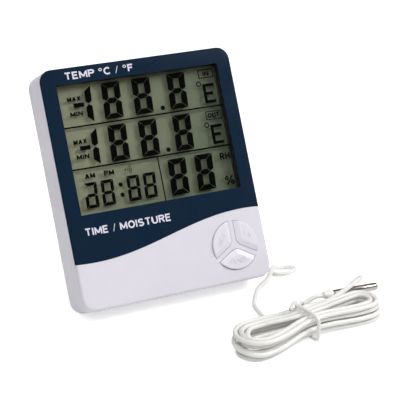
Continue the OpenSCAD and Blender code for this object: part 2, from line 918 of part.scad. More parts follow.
module humidity_sensor() {
    color(white)
        leaned()
            difference() {
                deep(board_back, board_back + sensor_h)
                    translate(sensor_at)
                        rounded(sensor_size.x, sensor_size.y, 0.4);
                for (i = [-2:2])
                    deep(board_back + sensor_h / 2, board_back + 2 * sensor_h)
                        translate(sensor_at + [0, i * sensor_size.y / 6])
                            square([sensor_size.x - 2, sensor_size.y / 12], center = true);
            }
}

module room_thermistor() {
    bead_r = 1.2;
    color(black)
        leaned() {
            rod(thermistor_at, bead_r, board_back, board_back + 2);
            translate([thermistor_at.x, board_back + 2, thermistor_at.y])
                sphere(bead_r * 0.999);
        }
}

module rear_switches() {
    color(black)
        leaned()
            for (at = [reset_at, unit_at]) {
                deep(board_back, board_back + switch_h - 0.6)
                    translate(at)
                        square(switch_w, center = true);
                rod(at, 0.28 * switch_w, board_back + switch_h - 1, board_back + switch_h);
            }
}

// Keys

module key_mat() {
    color(rubber_grey)
        leaned()
            difference() {
                rod([keys_x, keys_z], keys_r + 0.8, mat_y, board_y);
                for (angle = key_angles)
                    rod(stem_at(angle), dome_r + 0.3, mat_y - 1, board_y + 1);
            }
}

// A key: a proud sector with two slopes along its arms, a flange behind the wall and a stem to its dome
module key(angle) {
    slope = atan(key_proud / key_slope_w);
    edge_land = 0.08;
    edge_round = 0.5;
    reach = 2 * keys_r;
    outer_r = keys_r - key_gap;
    color(pale)
        leaned() {
            difference() {
                intersection() {
                    deep(-key_proud, flange_y + 0.2)
                        key_outline(angle, outer_r, key_gap);
                    translate([keys_x, -key_proud, keys_z])
                        rotate([-90, 0, 0])
                            rotate_extrude($fn = 96)
                                polygon(concat(
                                    [[0, 0]],
                                    edge_arc(outer_r - edge_round, edge_round, edge_round, -90, 0),
                                    [[outer_r, key_proud + flange_y + 1], [0, key_proud + flange_y + 1]]
                                ));
                }
                for (side = [-1, 1])
                    translate([keys_x, 0, keys_z])
                        rotate([0, -angle - side * 60, 0])
                            translate([0, 0, -side * (arm_w / 2 + key_gap)])
                                rotate([-side * slope, 0, 0])
                                    translate([-reach, -reach - edge_land, -reach])
                                        cube([2 * reach, reach, 2 * reach]);
            }
            deep(flange_y, flange_y + flange_t)
                key_outline(angle, keys_r + flange_grow, -flange_grow + key_gap);
            rod(stem_at(angle), stem_r, flange_y + flange_t - 0.1, stem_end);
        }
}

module key_left() {
    key(key_angles[0]);
}

module key_right() {
    key(key_angles[1]);
}

module key_bottom() {
    key(key_angles[2]);
}

module rubber_dome(angle) {
    at = stem_at(angle);
    color(rubber_grey)
        leaned()
            translate([at.x, stem_end, at.y])
                rotate([-90, 0, 0])
                    rotate_extrude()
                        polygon([
                            [0, 0],
                            [stem_r, 0],
                            [dome_r, dome_back - stem_end - 0.4],
                            [dome_r, dome_back - stem_end],
                            [0, dome_back - stem_end]
                        ]);
}

module rubber_dome_left() {
    rubber_dome(key_angles[0]);
}

module rubber_dome_right() {
    rubber_dome(key_angles[1]);
}

module rubber_dome_bottom() {
    rubber_dome(key_angles[2]);
}

// Battery bay

module battery_cell() {
    wrap_r = cell_d / 2;
    color(cell_colour)
        leaned()
            translate([cell_x - cell_len / 2, cell_y, bay_z])
                rotate([0, 90, 0]) {
                    cylinder(r = wrap_r, h = cell_len - nub_len);
                    cylinder(r = nub_r, h = cell_len);
                }
}

// Coil contact on its plate, pressed by the flat end of the cell
module battery_spring() {
    steps = 12 * spring_turns;
    plate_x = -bay_w / 2;
    coil_r = 3;
    tip_r = 2;
    start = [plate_x + contact_plate + spring_wire / 2, cell_y, bay_z];
    coil_len = spring_room - contact_plate - spring_wire;
    color(steel)
        leaned() {
            translate([plate_x + contact_plate / 2, cell_y, bay_z])
                cube([contact_plate, plate_w, plate_w], center = true);
            tube(
                [for (i = [0:steps]) let (t = i / steps, r = mix(coil_r, tip_r, t), a = 360 * spring_turns * t)
                    start + [coil_len * t, r * cos(a), r * sin(a)]],
                spring_wire / 2,
                6
            );
        }
}

module battery_contact() {
    color(brass)
        leaned()
            translate([bay_w / 2 - contact_plate / 2, cell_y, bay_z])
                cube([contact_plate, plate_w, plate_w], center = true);
}

// Door with its hinge pins at one short end and grip grooves at the other
module battery_door() {
    groove = 0.35;
    color(pale)
        leaned() {
            difference() {
                union() {
                    deep(door_in, case_d)
                        translate([(door_axis.x + door_w / 2) / 2, bay_z])
                            square([door_w / 2 - door_axis.x, door_h], center = true);
                    translate([door_axis.x, door_axis.y, bay_z - door_h / 2])
                        cylinder(r = knuckle_r, h = door_h);
                }
                for (i = [0:4])
                    translate([door_w / 2 - 4 - 1.8 * i, case_d, bay_z])
                        cube([0.8, 2 * groove, door_h - 5], center = true);
            }
            translate([door_axis.x, door_axis.y, bay_z - door_h / 2 - 1])
                cylinder(r = door_pin_r, h = door_h + 2);
        }
}

// Stand

module stand_folded() {
    foot_z = hinge_z - stand_len;
    grooves = 3;
    groove = 0.9;
    difference() {
        union() {
            deep(hinge_y - stand_t / 2, hinge_y + stand_t / 2)
                translate([0, (hinge_z + foot_z) / 2])
                    square([stand_w, stand_len], center = true);
            for (z = [hinge_z, foot_z])
                translate([-stand_w / 2, hinge_y, z])
                    rotate([0, 90, 0])
                        cylinder(r = knuckle, h = stand_w);
        }
        for (i = [0:grooves - 1])
            translate([0, hinge_y + stand_t / 2, foot_z + 5 + 3 * groove * i])
                cube([stand_w - 2 * stand_foot, groove, groove], center = true);
    }
    translate([-stand_w / 2 - stub_len, hinge_y, hinge_z])
        rotate([0, 90, 0])
            cylinder(r = stub_r, h = stand_w + 2 * stub_len);
}

module stand() {
    color(pale)
        leaned()
            translate([0, hinge_y, hinge_z])
                rotate([stand_angle, 0, 0])
                    translate([0, -hinge_y, -hinge_z])
                        stand_folded();
}

// Small buttons on the back

module rear_button(at) {
    stem_y = board_back + switch_h + button_travel + 0.1;
    color(rubber_grey)
        leaned() {
            rod(at, button_r, stem_y, case_d + 0.2);
            rod(at, button_r + 0.8, back_in - 1, back_in - 0.2);
        }
}

module reset_button() {
    rear_button(reset_at);
}

module unit_button() {
    rear_button(unit_at);
}

// Cord, hank and probe

// Rubber grommet: a flange inside the cover, a neck through it and a tapered sleeve outside
module cord_grommet() {
    color(white)
        leaned()
            translate([grommet_x, 0, grommet_z])
                rotate([-90, 0, 0])
                    rotate_extrude()
                        polygon([
                            [0, back_in - 1.5],
                            [cord_d + 1.1, back_in - 1.5],
                            [cord_d + 1.1, back_in],
                            [cord_d - 0.05, back_in],
                            [cord_d - 0.05, case_d],
                            [cord_d + 0.8, case_d],
                            [cord_d + 0.6, case_d + 1],
                            [cord_d / 2 + 0.5, case_d + grommet_out],
                            [0, case_d + grommet_out]
                        ]);
}

module probe_cord() {
    color(white)
        tube(cord_path(), cord_d / 2, 8);
}

module probe_cord_hank() {
    color(white)
        tube(hank_points, cord_d / 2, 6);
}

module probe_cord_end() {
    color(white)
        tube(end_path(), cord_d / 2, 8);
}

module cord_tie() {
    color(white)
        tube(tie_points, tie_d / 2, 6);
}

// Draws what follows along the probe, from the end of the cord along +Z
module along_probe() {
    translate(probe_at)
        rotate([0, acos(probe_dir.z), atan2(probe_dir.y, probe_dir.x)])
            children();
}

module probe_collar() {
    color(white)
        along_probe()
            rotate_extrude()
                polygon([
                    [0, 0],
                    [cord_d / 2 + 0.35, 0],
                    [collar_d / 2 - 0.1, 1.5],
                    [collar_d / 2, 2],
                    [collar_d / 2, collar_len],
                    [0, collar_len]
                ]);
}

module probe_tube() {
    tip_r = 0.5;
    color(steel)
        along_probe()
            translate([0, 0, collar_len])
                rotate_extrude()
                    polygon(concat(
                        [[0, 0], [probe_d / 2, 0]],
                        edge_arc(probe_d / 2 - tip_r, probe_len - tip_r, tip_r, 0, 90),
                        [[0, probe_len]]
                    ));
}

front_case();
front_panel();
rear_cover();
case_screws();
lcd_bezel();
lcd_front_glass();
lcd_rear_glass();
lcd_reflector();
lcd_holder();
contact_strip();
circuit_board();
board_screws();
chip_blob();
quartz_crystal();
buzzer();
humidity_sensor();
room_thermistor();
rear_switches();
key_mat();
key_left();
key_right();
key_bottom();
rubber_dome_left();
rubber_dome_right();
rubber_dome_bottom();
battery_cell();
battery_spring();
battery_contact();
battery_door();
stand();
reset_button();
unit_button();
cord_grommet();
probe_cord();
probe_cord_hank();
probe_cord_end();
cord_tie();
probe_collar();
probe_tube();
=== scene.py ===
import math

import bmesh
import bpy
from mathutils import Matrix, Vector


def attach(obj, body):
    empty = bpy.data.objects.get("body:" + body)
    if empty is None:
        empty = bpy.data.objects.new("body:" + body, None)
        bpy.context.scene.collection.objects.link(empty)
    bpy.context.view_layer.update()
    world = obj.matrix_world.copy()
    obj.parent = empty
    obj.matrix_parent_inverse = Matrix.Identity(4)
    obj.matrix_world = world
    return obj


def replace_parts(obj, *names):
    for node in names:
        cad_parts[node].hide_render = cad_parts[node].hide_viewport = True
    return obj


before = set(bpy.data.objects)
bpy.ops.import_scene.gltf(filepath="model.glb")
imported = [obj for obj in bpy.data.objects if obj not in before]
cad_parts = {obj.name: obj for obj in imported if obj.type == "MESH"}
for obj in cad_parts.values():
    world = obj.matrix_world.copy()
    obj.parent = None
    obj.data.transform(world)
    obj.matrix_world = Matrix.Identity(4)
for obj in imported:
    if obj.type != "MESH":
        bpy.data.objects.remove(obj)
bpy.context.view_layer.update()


# Place of the case on the table. The upright case is measured in millimetres from the middle of its lower
# front edge: x to the right, y into the case from its face, z up. It stands leaning back on its rounded lower
# back edge. The scene itself is in metres.
mm = 0.001
lean = math.radians(26.64)
case_depth = 20.0
case_height = 110.0
case_width = 94.5
case_y = -33.51391
case_z = 8.28321


def placed(x, y, z):
    """A point of the upright case as a point on the table, in metres."""
    return Vector((
        x,
        case_y + z * math.sin(lean) + y * math.cos(lean),
        case_z + z * math.cos(lean) - y * math.sin(lean),
    )) * mm


def placed_mm(x, y, z):
    """The same point in millimetres, for lines that a bar is swept along."""
    return placed(x, y, z) * 1000


# Studio: a long lens from the left and above, as an instrument is photographed for a catalogue. The camera is
# held by its place and by the two directions that make the picture's right and its middle.
def into_scene(name, data):
    """An object of the scene that shows a camera, a lamp or a mesh."""
    made = bpy.data.objects.new(name, data)
    bpy.context.scene.collection.objects.link(made)
    return made


camera_data = bpy.data.cameras.new("studio_camera")
camera_data.sensor_width = 36
camera_data.lens = 128.394
camera_data.clip_start = 0.05
camera_data.clip_end = 20
camera = into_scene("studio_camera", camera_data)
picture_right = Vector((0.901626, -0.432516, 0.0))
picture_forward = Vector((0.399834, 0.833498, -0.381331)).normalized()
picture_up = picture_right.cross(picture_forward)
turned = Matrix((picture_right, picture_up, -picture_forward)).transposed().to_4x4()
camera.matrix_world = Matrix.Translation((-0.245274, -0.564134, 0.295680)) @ turned
bpy.context.scene.camera = camera


# Outdoor cord: 1.56 m of twin wire in a round white PVC jacket, extruded, so it is smooth with faint lines
# along it. It runs out of the back, along the table, into a tied hank of flat loops, and from the hank to the
# probe.
cord_diameter = 2.2
cord_sides = 18
route_steps = 8
exit_x, exit_depth, exit_z = 36, 23, 10
cord_exit = placed_mm(exit_x, exit_depth, exit_z)
cord_out = Vector((0, math.cos(lean), -math.sin(lean)))
to_hank = [
    (36.8, 0.4, 2.3), (39.6, 4.4, 1.3), (44, 6.6, 1.1), (49, 6.2, 1.1), (53.2, 3.4, 1.1), (56, -1.4, 1.1),
    (55.6, -7.52, 1.1), (55.54, -11.72, 1.1), (55.47, -15.92, 1.1), (55.42, -20.29, 1.35),
    (56.31, -22.98, 2.05), (58.58, -24.83, 2.8), (61.58, -25.12, 3.25), (64.29, -23.63, 3.2),
    (65.65, -20.85, 2.65), (65.22, -17.87, 1.95), (63.26, -15.69, 1.5), (60.62, -14.92, 1.65),
    (58.27, -15.46, 2.45), (56.48, -16.93, 3.5), (54.62, -19.28, 4), (52.45, -22.03, 3.7),
    (47.85, -26.4, 2.2), (43.49, -28.99, 1.4), (38.9, -33.48, 1.1), (34.01, -40.68, 1.1),
    (30.73, -47.64, 1.1), (29.4, -61.2, 1.1), (30, -67.4, 1.4), (32.2, -72.2, 2.1), (35.4, -74.6, 2.8),
]
to_probe = [
    (46.6, -71.6, 9.9), (50.4, -69.9, 8.9), (54.6, -68.2, 8), (59.4, -66.2, 7.5), (66, -62.8, 7.4),
    (72.4, -59.2, 7.4), (78.2, -55.9, 7.5), (83.1, -53.1, 7.4), (84.9, -50.4, 6.5), (84.4, -47.9, 4.2),
    (82, -47.1, 2), (79.1, -48.5, 1.1), (75.6, -51, 1.1), (71.4, -54.6, 1.1), (67.4, -58, 1.1),
    (63.4, -61.6, 1.1), (59.2, -64.8, 1.1), (54.8, -66.6, 1.1), (50.6, -67, 1.1), (47.2, -65.4, 1.1),
    (45.6, -62.4, 1.3), (46.6, -59.4, 2), (49.4, -57.9, 3.2), (53, -57.8, 4.6),
]
probe_start = Vector((60.6, -57.4, 5.3))
probe_along = Vector((0.987, 0.119, -0.108)).normalized()
hank_middle = (41.3, -79.4)
hank_turn = math.radians(8.8)
hank_half, hank_left, hank_right, loop_step = 30.6, 4.4, 2.8, 2.85
hank_layers, layer_loops, hank_from, loop_points = 4, 2, 0.25, 72
waist_lift, waist_layer, end_layer, end_pull = 1.9, 2.4, 2.72, 0.7
arc_part = 0.125
run_part = 0.5 - 2 * arc_part


def ease(t):
    """A share from 0 to 1 that starts and ends slowly."""
    t = min(max(t, 0.0), 1.0)
    return t * t * (3 - 2 * t)


def mix(a, b, t):
    """A number between two others."""
    return a + (b - a) * t


def on_hank(x, y, z):
    """Turns and moves a point of the hank, in millimetres, to where it lies."""
    c, s = math.cos(hank_turn), math.sin(hank_turn)
    return Vector((hank_middle[0] + x * c - y * s, hank_middle[1] + x * s + y * c, z))


def hank_point(u):
    """The cord's middle at loop u: loops spiral in on one layer, climb, and spiral out on the next. Each half
    of a loop is a turn at one end and a run to the other, drawn in by the tie at its middle."""
    layer_number = min(int(u // layer_loops), hank_layers - 1)
    near = math.floor(u / layer_loops + 0.5)
    off = u - near * layer_loops
    climbing = 0 < near < hank_layers and abs(off) < arc_part
    layer = near - 1 + ease((off + arc_part) / (2 * arc_part)) if climbing else layer_number
    v = u - layer_loops * layer_number
    out = layer_loops - v if layer_number % 2 == 0 else v
    left, right = hank_left + loop_step * out, hank_right + loop_step * out
    half_loop, part = divmod(u + arc_part, 0.5)
    side, r0, r1 = (-1, right, left) if half_loop % 2 else (1, left, right)
    if part < 2 * arc_part:
        a = math.radians(90 * (part - arc_part) / arc_part)
        x, y, at_end = -side * (hank_half + r0 * math.cos(a)), side * r0 * math.sin(a), 1.0
    else:
        t = (part - 2 * arc_part) / run_part
        drawn_in = math.sin(math.pi * t) ** 2
        x, at_end = side * hank_half * (2 * t - 1), 1 - drawn_in
        y = side * (mix(r0, r1, ease(t)) * at_end + loop_step * out * drawn_in)
    x -= end_pull * layer * at_end * math.copysign(1, x)
    z = cord_diameter / 2 + waist_lift * (1 - at_end) + layer * mix(waist_layer, end_layer, at_end)
    return on_hank(x, y, z)


def smooth_line(points, steps):
    """A smooth line through the points, with some steps from each to the next."""
    p = [Vector(q) for q in points]
    p = [2 * p[0] - p[1]] + p + [2 * p[-1] - p[-2]]
    line = []
    for i in range(1, len(p) - 2):
        a, b, c, d = p[i - 1:i + 3]
        for k in range(steps):
            t = k / steps
            line.append((
                2 * b + (c - a) * t + (2 * a - 5 * b + 4 * c - d) * t ** 2
                + (3 * b - a - 3 * c + d) * t ** 3) / 2)
    return line + [p[-2]]


def new_piece(name, mesh, material, body):
    """Shows a finished mesh, in metres, as a piece of the object that rides on a body."""
    piece = into_scene(name, mesh)
    mesh.materials.clear()
    mesh.materials.append(material)
    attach(piece, body)
    return piece


def swept(name, line, radius, sides):
    """A round bar along a line of points in millimetres, closed at both ends, with a UV map along and around
    it. The radius may be one number or one for each point."""
    radii = radius if isinstance(radius, list) else [radius] * len(line)
    side = Vector((0.1, 0.2, 1.0))
    verts, lengths, run = [], [], 0.0
    for i, p in enumerate(line):
        before, after = line[max(i - 1, 0)], line[min(i + 1, len(line) - 1)]
        along = (after - before).normalized()
        side = (side - side.dot(along) * along).normalized()
        across = along.cross(side)
        run += (p - line[i - 1]).length if i else 0.0
        lengths.append(run)
        for k in range(sides):
            a = 2 * math.pi * k / sides
            verts.append((p + radii[i] * (math.cos(a) * side + math.sin(a) * across)) * mm)
    faces = [
        (i * sides + (k + 1) % sides, (i + 1) * sides + (k + 1) % sides, (i + 1) * sides + k, i * sides + k)
        for i in range(len(line) - 1) for k in range(sides)]
    faces.append(tuple(range(sides - 1, -1, -1)))
    faces.append(tuple((len(line) - 1) * sides + k for k in range(sides)))
    mesh = bpy.data.meshes.new(name)
    mesh.from_pydata([v[:] for v in verts], [], faces)
    uv = mesh.uv_layers.new(name="along")
    for face in mesh.polygons:
        wraps = len(face.vertices) == 4 and {v % sides for v in face.vertices} == {0, sides - 1}
        for loop in face.loop_indices:
            v = mesh.loops[loop].vertex_index
            ring, k = divmod(v, sides)
            around = 1.0 if wraps and k == 0 else k / sides
            uv.data[loop].uv = (lengths[ring] * mm, around)
    mesh.shade_smooth()
    return mesh


def paint(code):
    """A colour as a paint chart writes it, as a linear one."""
    parts = [int(code[i:i + 2], 16) / 255 for i in (1, 3, 5)]
    return [c / 12.92 if c <= 0.04045 else ((c + 0.055) / 1.055) ** 2.4 for c in parts] + [1.0]


def node(tree, kind, inputs=None, **settings):
    """Adds a node, sets it, and feeds each named input with a value or with another node's output."""
    made = tree.nodes.new(kind)
    for key, value in settings.items():
        setattr(made, key, value)
    for key, value in (inputs or {}).items():
        if isinstance(value, bpy.types.NodeSocket):
            tree.links.new(value, made.inputs[key])
        else:
            made.inputs[key].default_value = value
    return made


def here(tree):
    """The place that is being shaded, in metres."""
    return node(tree, "ShaderNodeTexCoord").outputs["Object"]


def along_bar(tree):
    """The place along and around a swept bar."""
    return node(tree, "ShaderNodeUVMap", uv_map="along").outputs[0]


def noise(tree, where, scale, detail, roughness=0.5):
    """Fractal noise over a place, from 0 to 1."""
    inputs = {"Vector": where, "Scale": scale, "Detail": detail, "Roughness": roughness}
    return node(tree, "ShaderNodeTexNoise", inputs).outputs[0]


def stretched(tree, where, *scale):
    """A place stretched by a factor along each axis."""
    return node(tree, "ShaderNodeMapping", {"Vector": where, "Scale": scale}).outputs[0]


def remap(tree, value, low, high, to_low=0.0, to_high=1.0):
    """A value carried from one range to another and held at its ends."""
    inputs = {"Value": value, "From Min": low, "From Max": high, "To Min": to_low, "To Max": to_high}
    return node(tree, "ShaderNodeMapRange", inputs).outputs[0]


def maths(tree, operation, *values):
    """One step of arithmetic."""
    return node(tree, "ShaderNodeMath", dict(enumerate(values)), operation=operation).outputs[0]


def between(tree, share, low, high):
    """A colour between two others."""
    return node(tree, "ShaderNodeMix", {0: share, 6: low, 7: high}, data_type="RGBA").outputs[2]


def embossed(tree, height, strength, distance):
    """A normal bent by a height, which is a distance in metres where it is 1."""
    values = {"Strength": strength, "Distance": distance, "Height": height}
    return node(tree, "ShaderNodeBump", values).outputs[0]


def feed(tree, target, **values):
    """Joins outputs to a node's inputs, each named with _ for a space."""
    for key, value in values.items():
        tree.links.new(value, target.inputs[key.replace("_", " ")])


def new_group(name, outputs=("Colour", "Roughness", "Normal"), **inputs):
    """A shader node group whose inputs have the names and values given, with _ for a space."""
    kinds = {"Colour": "NodeSocketColor", "Roughness": "NodeSocketFloat"}
    tree = bpy.data.node_groups.new(name, "ShaderNodeTree")
    for label, value in inputs.items():
        kind = "NodeSocketFloat" if isinstance(value, float) else "NodeSocketColor"
        socket = tree.interface.new_socket(label.replace("_", " "), in_out="INPUT", socket_type=kind)
        socket.default_value = value
    for label in outputs:
        tree.interface.new_socket(label, in_out="OUTPUT", socket_type=kinds.get(label, "NodeSocketVector"))
    return tree, node(tree, "NodeGroupInput").outputs, node(tree, "NodeGroupOutput")


def new_material(name, **sockets):
    """A material with one Principled shader whose plain sockets are set by name."""
    material = bpy.data.materials.new(name)
    material.use_nodes = True
    shader = material.node_tree.nodes["Principled BSDF"]
    for key, value in sockets.items():
        shader.inputs[key.replace("_", " ")].default_value = value
    return material, material.node_tree, shader


def grouped(name, group, values, **sockets):
    """A material whose colour, roughness and normal come from a group with values of its own."""
    material, tree, shader = new_material(name, **sockets)
    look = node(tree, "ShaderNodeGroup", values, node_tree=group).outputs
    feed(tree, shader, Base_Color=look["Colour"], Roughness=look["Roughness"], Normal=look["Normal"])
    return material


# Tones that a group has until a material gives it its own.
pale_grey, mid_grey = paint("#e7e7e7"), paint("#cccccc")

# Extruded jacket: die lines along the cord, a slight unevenness, and grey where it has been handled.
jacket, given, made = new_group("extruded_jacket", Colour=pale_grey, Handled=mid_grey, Gloss=0.4)
along = along_bar(jacket)
die_lines = noise(jacket, stretched(jacket, along, 12, 40, 1), 1.0, 3)
patches = noise(jacket, stretched(jacket, along, 90, 2, 1), 1.0, 4, 0.6)
handled = remap(jacket, patches, 0.45, 0.8, 0.0, 0.5)
feed(
    jacket, made, Colour=between(jacket, handled, given["Colour"], given["Handled"]),
    Roughness=maths(jacket, "MULTIPLY_ADD", given["Gloss"], patches, 0.16),
    Normal=embossed(jacket, die_lines, 0.12, 0.00006))
white_pvc = grouped(
    "white_pvc", jacket, {"Colour": paint("#eeedea"), "Handled": paint("#dcdad4"), "Gloss": 0.42},
    Coat_Weight=0.08, Coat_Roughness=0.3)

hank_steps = hank_layers * layer_loops * loop_points
hank_line = [hank_point(hank_from + i / loop_points) for i in range(hank_steps + 1)]
into_hank = (hank_line[1] - hank_line[0]).normalized()
out_of_hank = (hank_line[-1] - hank_line[-2]).normalized()
leaves_case = [cord_exit + d * cord_diameter * cord_out for d in (1, 2.4)]
meets_probe = [probe_start - d * cord_diameter * probe_along for d in (2, 1)]
joins_hank = hank_line[0] - cord_diameter * into_hank
cord_line = [cord_exit] + smooth_line(leaves_case + to_hank + [joins_hank], route_steps)
cord_line += hank_line
cord_line += smooth_line([hank_line[-1] + cord_diameter * out_of_hank] + to_probe + meets_probe, route_steps)
cord_line.append(probe_start)
cord_mesh = swept("outdoor_cord", cord_line, cord_diameter / 2, cord_sides)
cord = new_piece("outdoor_cord", cord_mesh, white_pvc, "case")
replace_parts(cord, "probe_cord", "probe_cord_hank", "probe_cord_end")


# Tie: a short length of the same soft white jacket round the hank's waist, twisted on itself, with two free
# ends.
tie_radius = 0.85
side_slack, top_slack = 0.95, 0.5
tie_half = loop_step * layer_loops + cord_diameter / 2 + tie_radius + side_slack
tie_low = tie_radius
tie_high = cord_diameter + waist_lift + waist_layer * (hank_layers - 1) + tie_radius + top_slack
tie_squareness = 6
tie_turn, tie_steps = 352, 56


def tie_round(degrees):
    """A point of the tie's turn round the waist, which has the waist's own nearly square section."""
    c, s = math.cos(math.radians(degrees)), math.sin(math.radians(degrees))
    half = (tie_high - tie_low) / 2
    return (
        mix(-1, 1, (degrees - 60) / 360),
        math.copysign(tie_half * abs(c) ** (2 / tie_squareness), c),
        tie_low + half + math.copysign(half * abs(s) ** (2 / tie_squareness), s),
    )


tie_points = [(-9.5, 2.5, tie_high + 1.2), (-6, 5.6, tie_high + 1.3), (-2.8, 8, tie_high + 0.6)]
tie_points += [tie_round(60 - tie_turn * i / tie_steps) for i in range(tie_steps + 1)]
tie_points += [(2.6, tie_half + 1.2, tie_high - 1.6), (4, tie_half + 2.2, tie_high - 4)]
tie_points += [(4.6, tie_half + 2.4, tie_high - 6.4)]
tie_line = smooth_line([on_hank(*p) for p in tie_points], 4)
tie = new_piece("hank_tie", swept("hank_tie", tie_line, tie_radius, 14), white_pvc, "case")
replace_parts(tie, "cord_tie")


# Probe: a drawn stainless tube, closed and rounded at its tip, with the sensing bead in resin inside. A white
# collar is moulded over its open end and over the cord.
tube_length, tube_radius, tip_round = 26.4, 1.75, 0.7
collar_length = 5.0
collar_steps = [
    (0, 1.45), (0.25, 1.55), (1.5, 1.83), (2, 1.95), (2.4, 1.95), (2.5, 1.86), (2.75, 1.86), (2.85, 1.95),
    (4.8, 1.95), (collar_length, 1.85)]


def turned_piece(name, steps, where, sides, material):
    """A piece turned about a straight line. Each step is a distance along it, which where() places, and a
    radius."""
    line = [where(d) for d, r in steps]
    return new_piece(name, swept(name, line, [r for d, r in steps], sides), material, "case")


collar = turned_piece(
    "probe_sleeve", collar_steps, lambda d: probe_start + d * probe_along, 32, white_pvc)
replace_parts(collar, "probe_collar")
tube_steps = [(0, tube_radius), (tube_length - 1.9, tube_radius)]
for degrees in range(0, 91, 9):
    a = math.radians(degrees)
    tube_steps.append((
        tube_length - tip_round + tip_round * math.sin(a), tube_radius - tip_round + tip_round * math.cos(a)))
tube_steps += [(tube_length, 0.5), (tube_length, 0.05)]

# Drawn steel: fine rings from polishing in a lathe, faint lengthwise scratches and a little haze.
drawn, given, made = new_group("drawn_steel", Colour=pale_grey, Dull=mid_grey, Gloss=0.15)
along = along_bar(drawn)
lathe_rings = noise(drawn, stretched(drawn, along, 14000, 3, 1), 1.0, 2)
scratches = noise(drawn, stretched(drawn, along, 120, 60, 1), 1.0, 5)
feed(
    drawn, made, Colour=between(drawn, scratches, given["Colour"], given["Dull"]),
    Roughness=maths(drawn, "MULTIPLY_ADD", scratches, 0.18, given["Gloss"]),
    Normal=embossed(drawn, lathe_rings, 0.05, 0.00002))
stainless = grouped(
    "stainless_tube", drawn,
    {"Colour": (0.44, 0.41, 0.38, 1), "Dull": (0.31, 0.285, 0.26, 1), "Gloss": 0.16}, Metallic=1.0)
probe = turned_piece(
    "probe_rod", tube_steps, lambda d: probe_start + (collar_length + d) * probe_along, 40, stainless)
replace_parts(probe, "probe_tube")


# Case halves: injection-moulded ABS in a cool pale grey-white, with a fine spark-eroded grain, a soft sheen
# where it has been held and a little dust. Two shells that meet at mid-depth, screwed together from the back.
dust_tone = (0.42, 0.4, 0.36, 1)
grain, given, made = new_group(
    "moulded_grain", Colour=pale_grey, Grain_mm=0.25, Depth=0.3, Gloss=0.4, Dust=0.3)
place = here(grain)
fine = noise(grain, place, maths(grain, "DIVIDE", 1000.0, given["Grain mm"]), 2)
wide = noise(grain, place, 55.0, 4, 0.55)
specks = node(grain, "ShaderNodeTexVoronoi", {"Vector": place, "Scale": 420.0}).outputs["Distance"]
few = maths(grain, "MULTIPLY", remap(grain, specks, 0.03, 0.1, 1.0, 0.0), remap(grain, wide, 0.56, 0.66))
shade = node(grain, "ShaderNodeHueSaturation", {
    "Color": given["Colour"], "Value": remap(grain, wide, 0.3, 0.7, 0.975, 1.02)}).outputs[0]
feed(
    grain, made, Colour=between(grain, maths(grain, "MULTIPLY", few, given["Dust"]), shade, dust_tone),
    Roughness=maths(grain, "SUBTRACT", given["Gloss"], remap(grain, wide, 0.4, 0.75, -0.05, 0.1)),
    Normal=embossed(grain, fine, given["Depth"], 0.00003))


def plastic(name, code, grain_mm=0.25, depth=0.3, gloss=0.42, dust=0.25, **sockets):
    """A moulded plastic in one colour, with its own grain, sheen and dust."""
    values = {"Colour": paint(code), "Grain mm": grain_mm, "Depth": depth, "Gloss": gloss, "Dust": dust}
    return grouped(name, grain, values, **sockets)


def smoothed(mesh, turn):
    """Shades a mesh as round, but for the edges that turn by more than an angle in degrees."""
    mesh.shade_smooth()
    mesh.set_sharp_from_angle(angle=math.radians(turn))
    return mesh


def smooth_copy(name, cad_node, material, body, turn=35, edge=0.0):
    """A piece with a CAD node's own shape, its loose triangles joined and its rounded edges shaded as round.
    Its sharp edges are broken by an edge width in millimetres."""
    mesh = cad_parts[cad_node].data.copy()
    mesh.name = name
    bm = bmesh.new()
    bm.from_mesh(mesh)
    bmesh.ops.remove_doubles(bm, verts=bm.verts, dist=0.000001)
    bmesh.ops.dissolve_limit(bm, angle_limit=math.radians(0.4), verts=bm.verts, edges=bm.edges)
    bmesh.ops.triangulate(bm, faces=[f for f in bm.faces if len(f.verts) > 4])
    bm.to_mesh(mesh)
    bm.free()
    if "custom_normal" in mesh.attributes:
        mesh.attributes.remove(mesh.attributes["custom_normal"])
    piece = new_piece(name, smoothed(mesh, turn), material, body)
    if edge:
        broken = piece.modifiers.new("broken_edges", "BEVEL")
        broken.width = edge * mm
        broken.segments = 2
        broken.limit_method = "ANGLE"
        broken.angle_limit = math.radians(40)
        broken.use_clamp_overlap = True
    even = piece.modifiers.new("even_normals", "WEIGHTED_NORMAL")
    even.keep_sharp = True
    even.weight = 90
    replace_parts(piece, cad_node)


case_pale = plastic("case_abs_pale", "#dcd9e2", grain_mm=0.22, depth=0.35, gloss=0.46)
smooth_copy("case_front_half", "front_case", case_pale, "case", edge=0.1)
smooth_copy("case_rear_half", "rear_cover", case_pale, "case", edge=0.12)


# Front panel: a clear acrylic sheet printed navy on its back and let into the face down to the wavy edge.
# White words are screen-printed on it, generic ones that say what each row shows.
panel_navy = plastic(
    "panel_navy_print", "#0f2337", grain_mm=0.9, depth=0.05, gloss=0.3, dust=0.06, Specular_IOR_Level=0.08)
smooth_copy("front_panel_sheet", "front_panel", panel_navy, "case")
print_white = plastic("print_white_ink", "#dedbea", grain_mm=0.12, depth=0.15, gloss=0.5, dust=0.1)
panel_step, ink_sunk, ink_thick = 0.15, 0.005, 0.03

# Each row of words with its left, top, width and height on the face, and the width of the pen.
panel_rows = [("TEMP *C / *F", 11.9, 2.3, 33.6, 3.45, 0.7), ("TIME / MOISTURE", 7.4, 72.8, 42.0, 3.5, 0.68)]


def arc(x, y, wide, high, start, end, steps=8):
    """Points along part of an oval, from one angle to another."""
    turns = [math.radians(start + (end - start) * i / steps) for i in range(steps + 1)]
    return [(x + wide * math.cos(a), y + high * math.sin(a)) for a in turns]


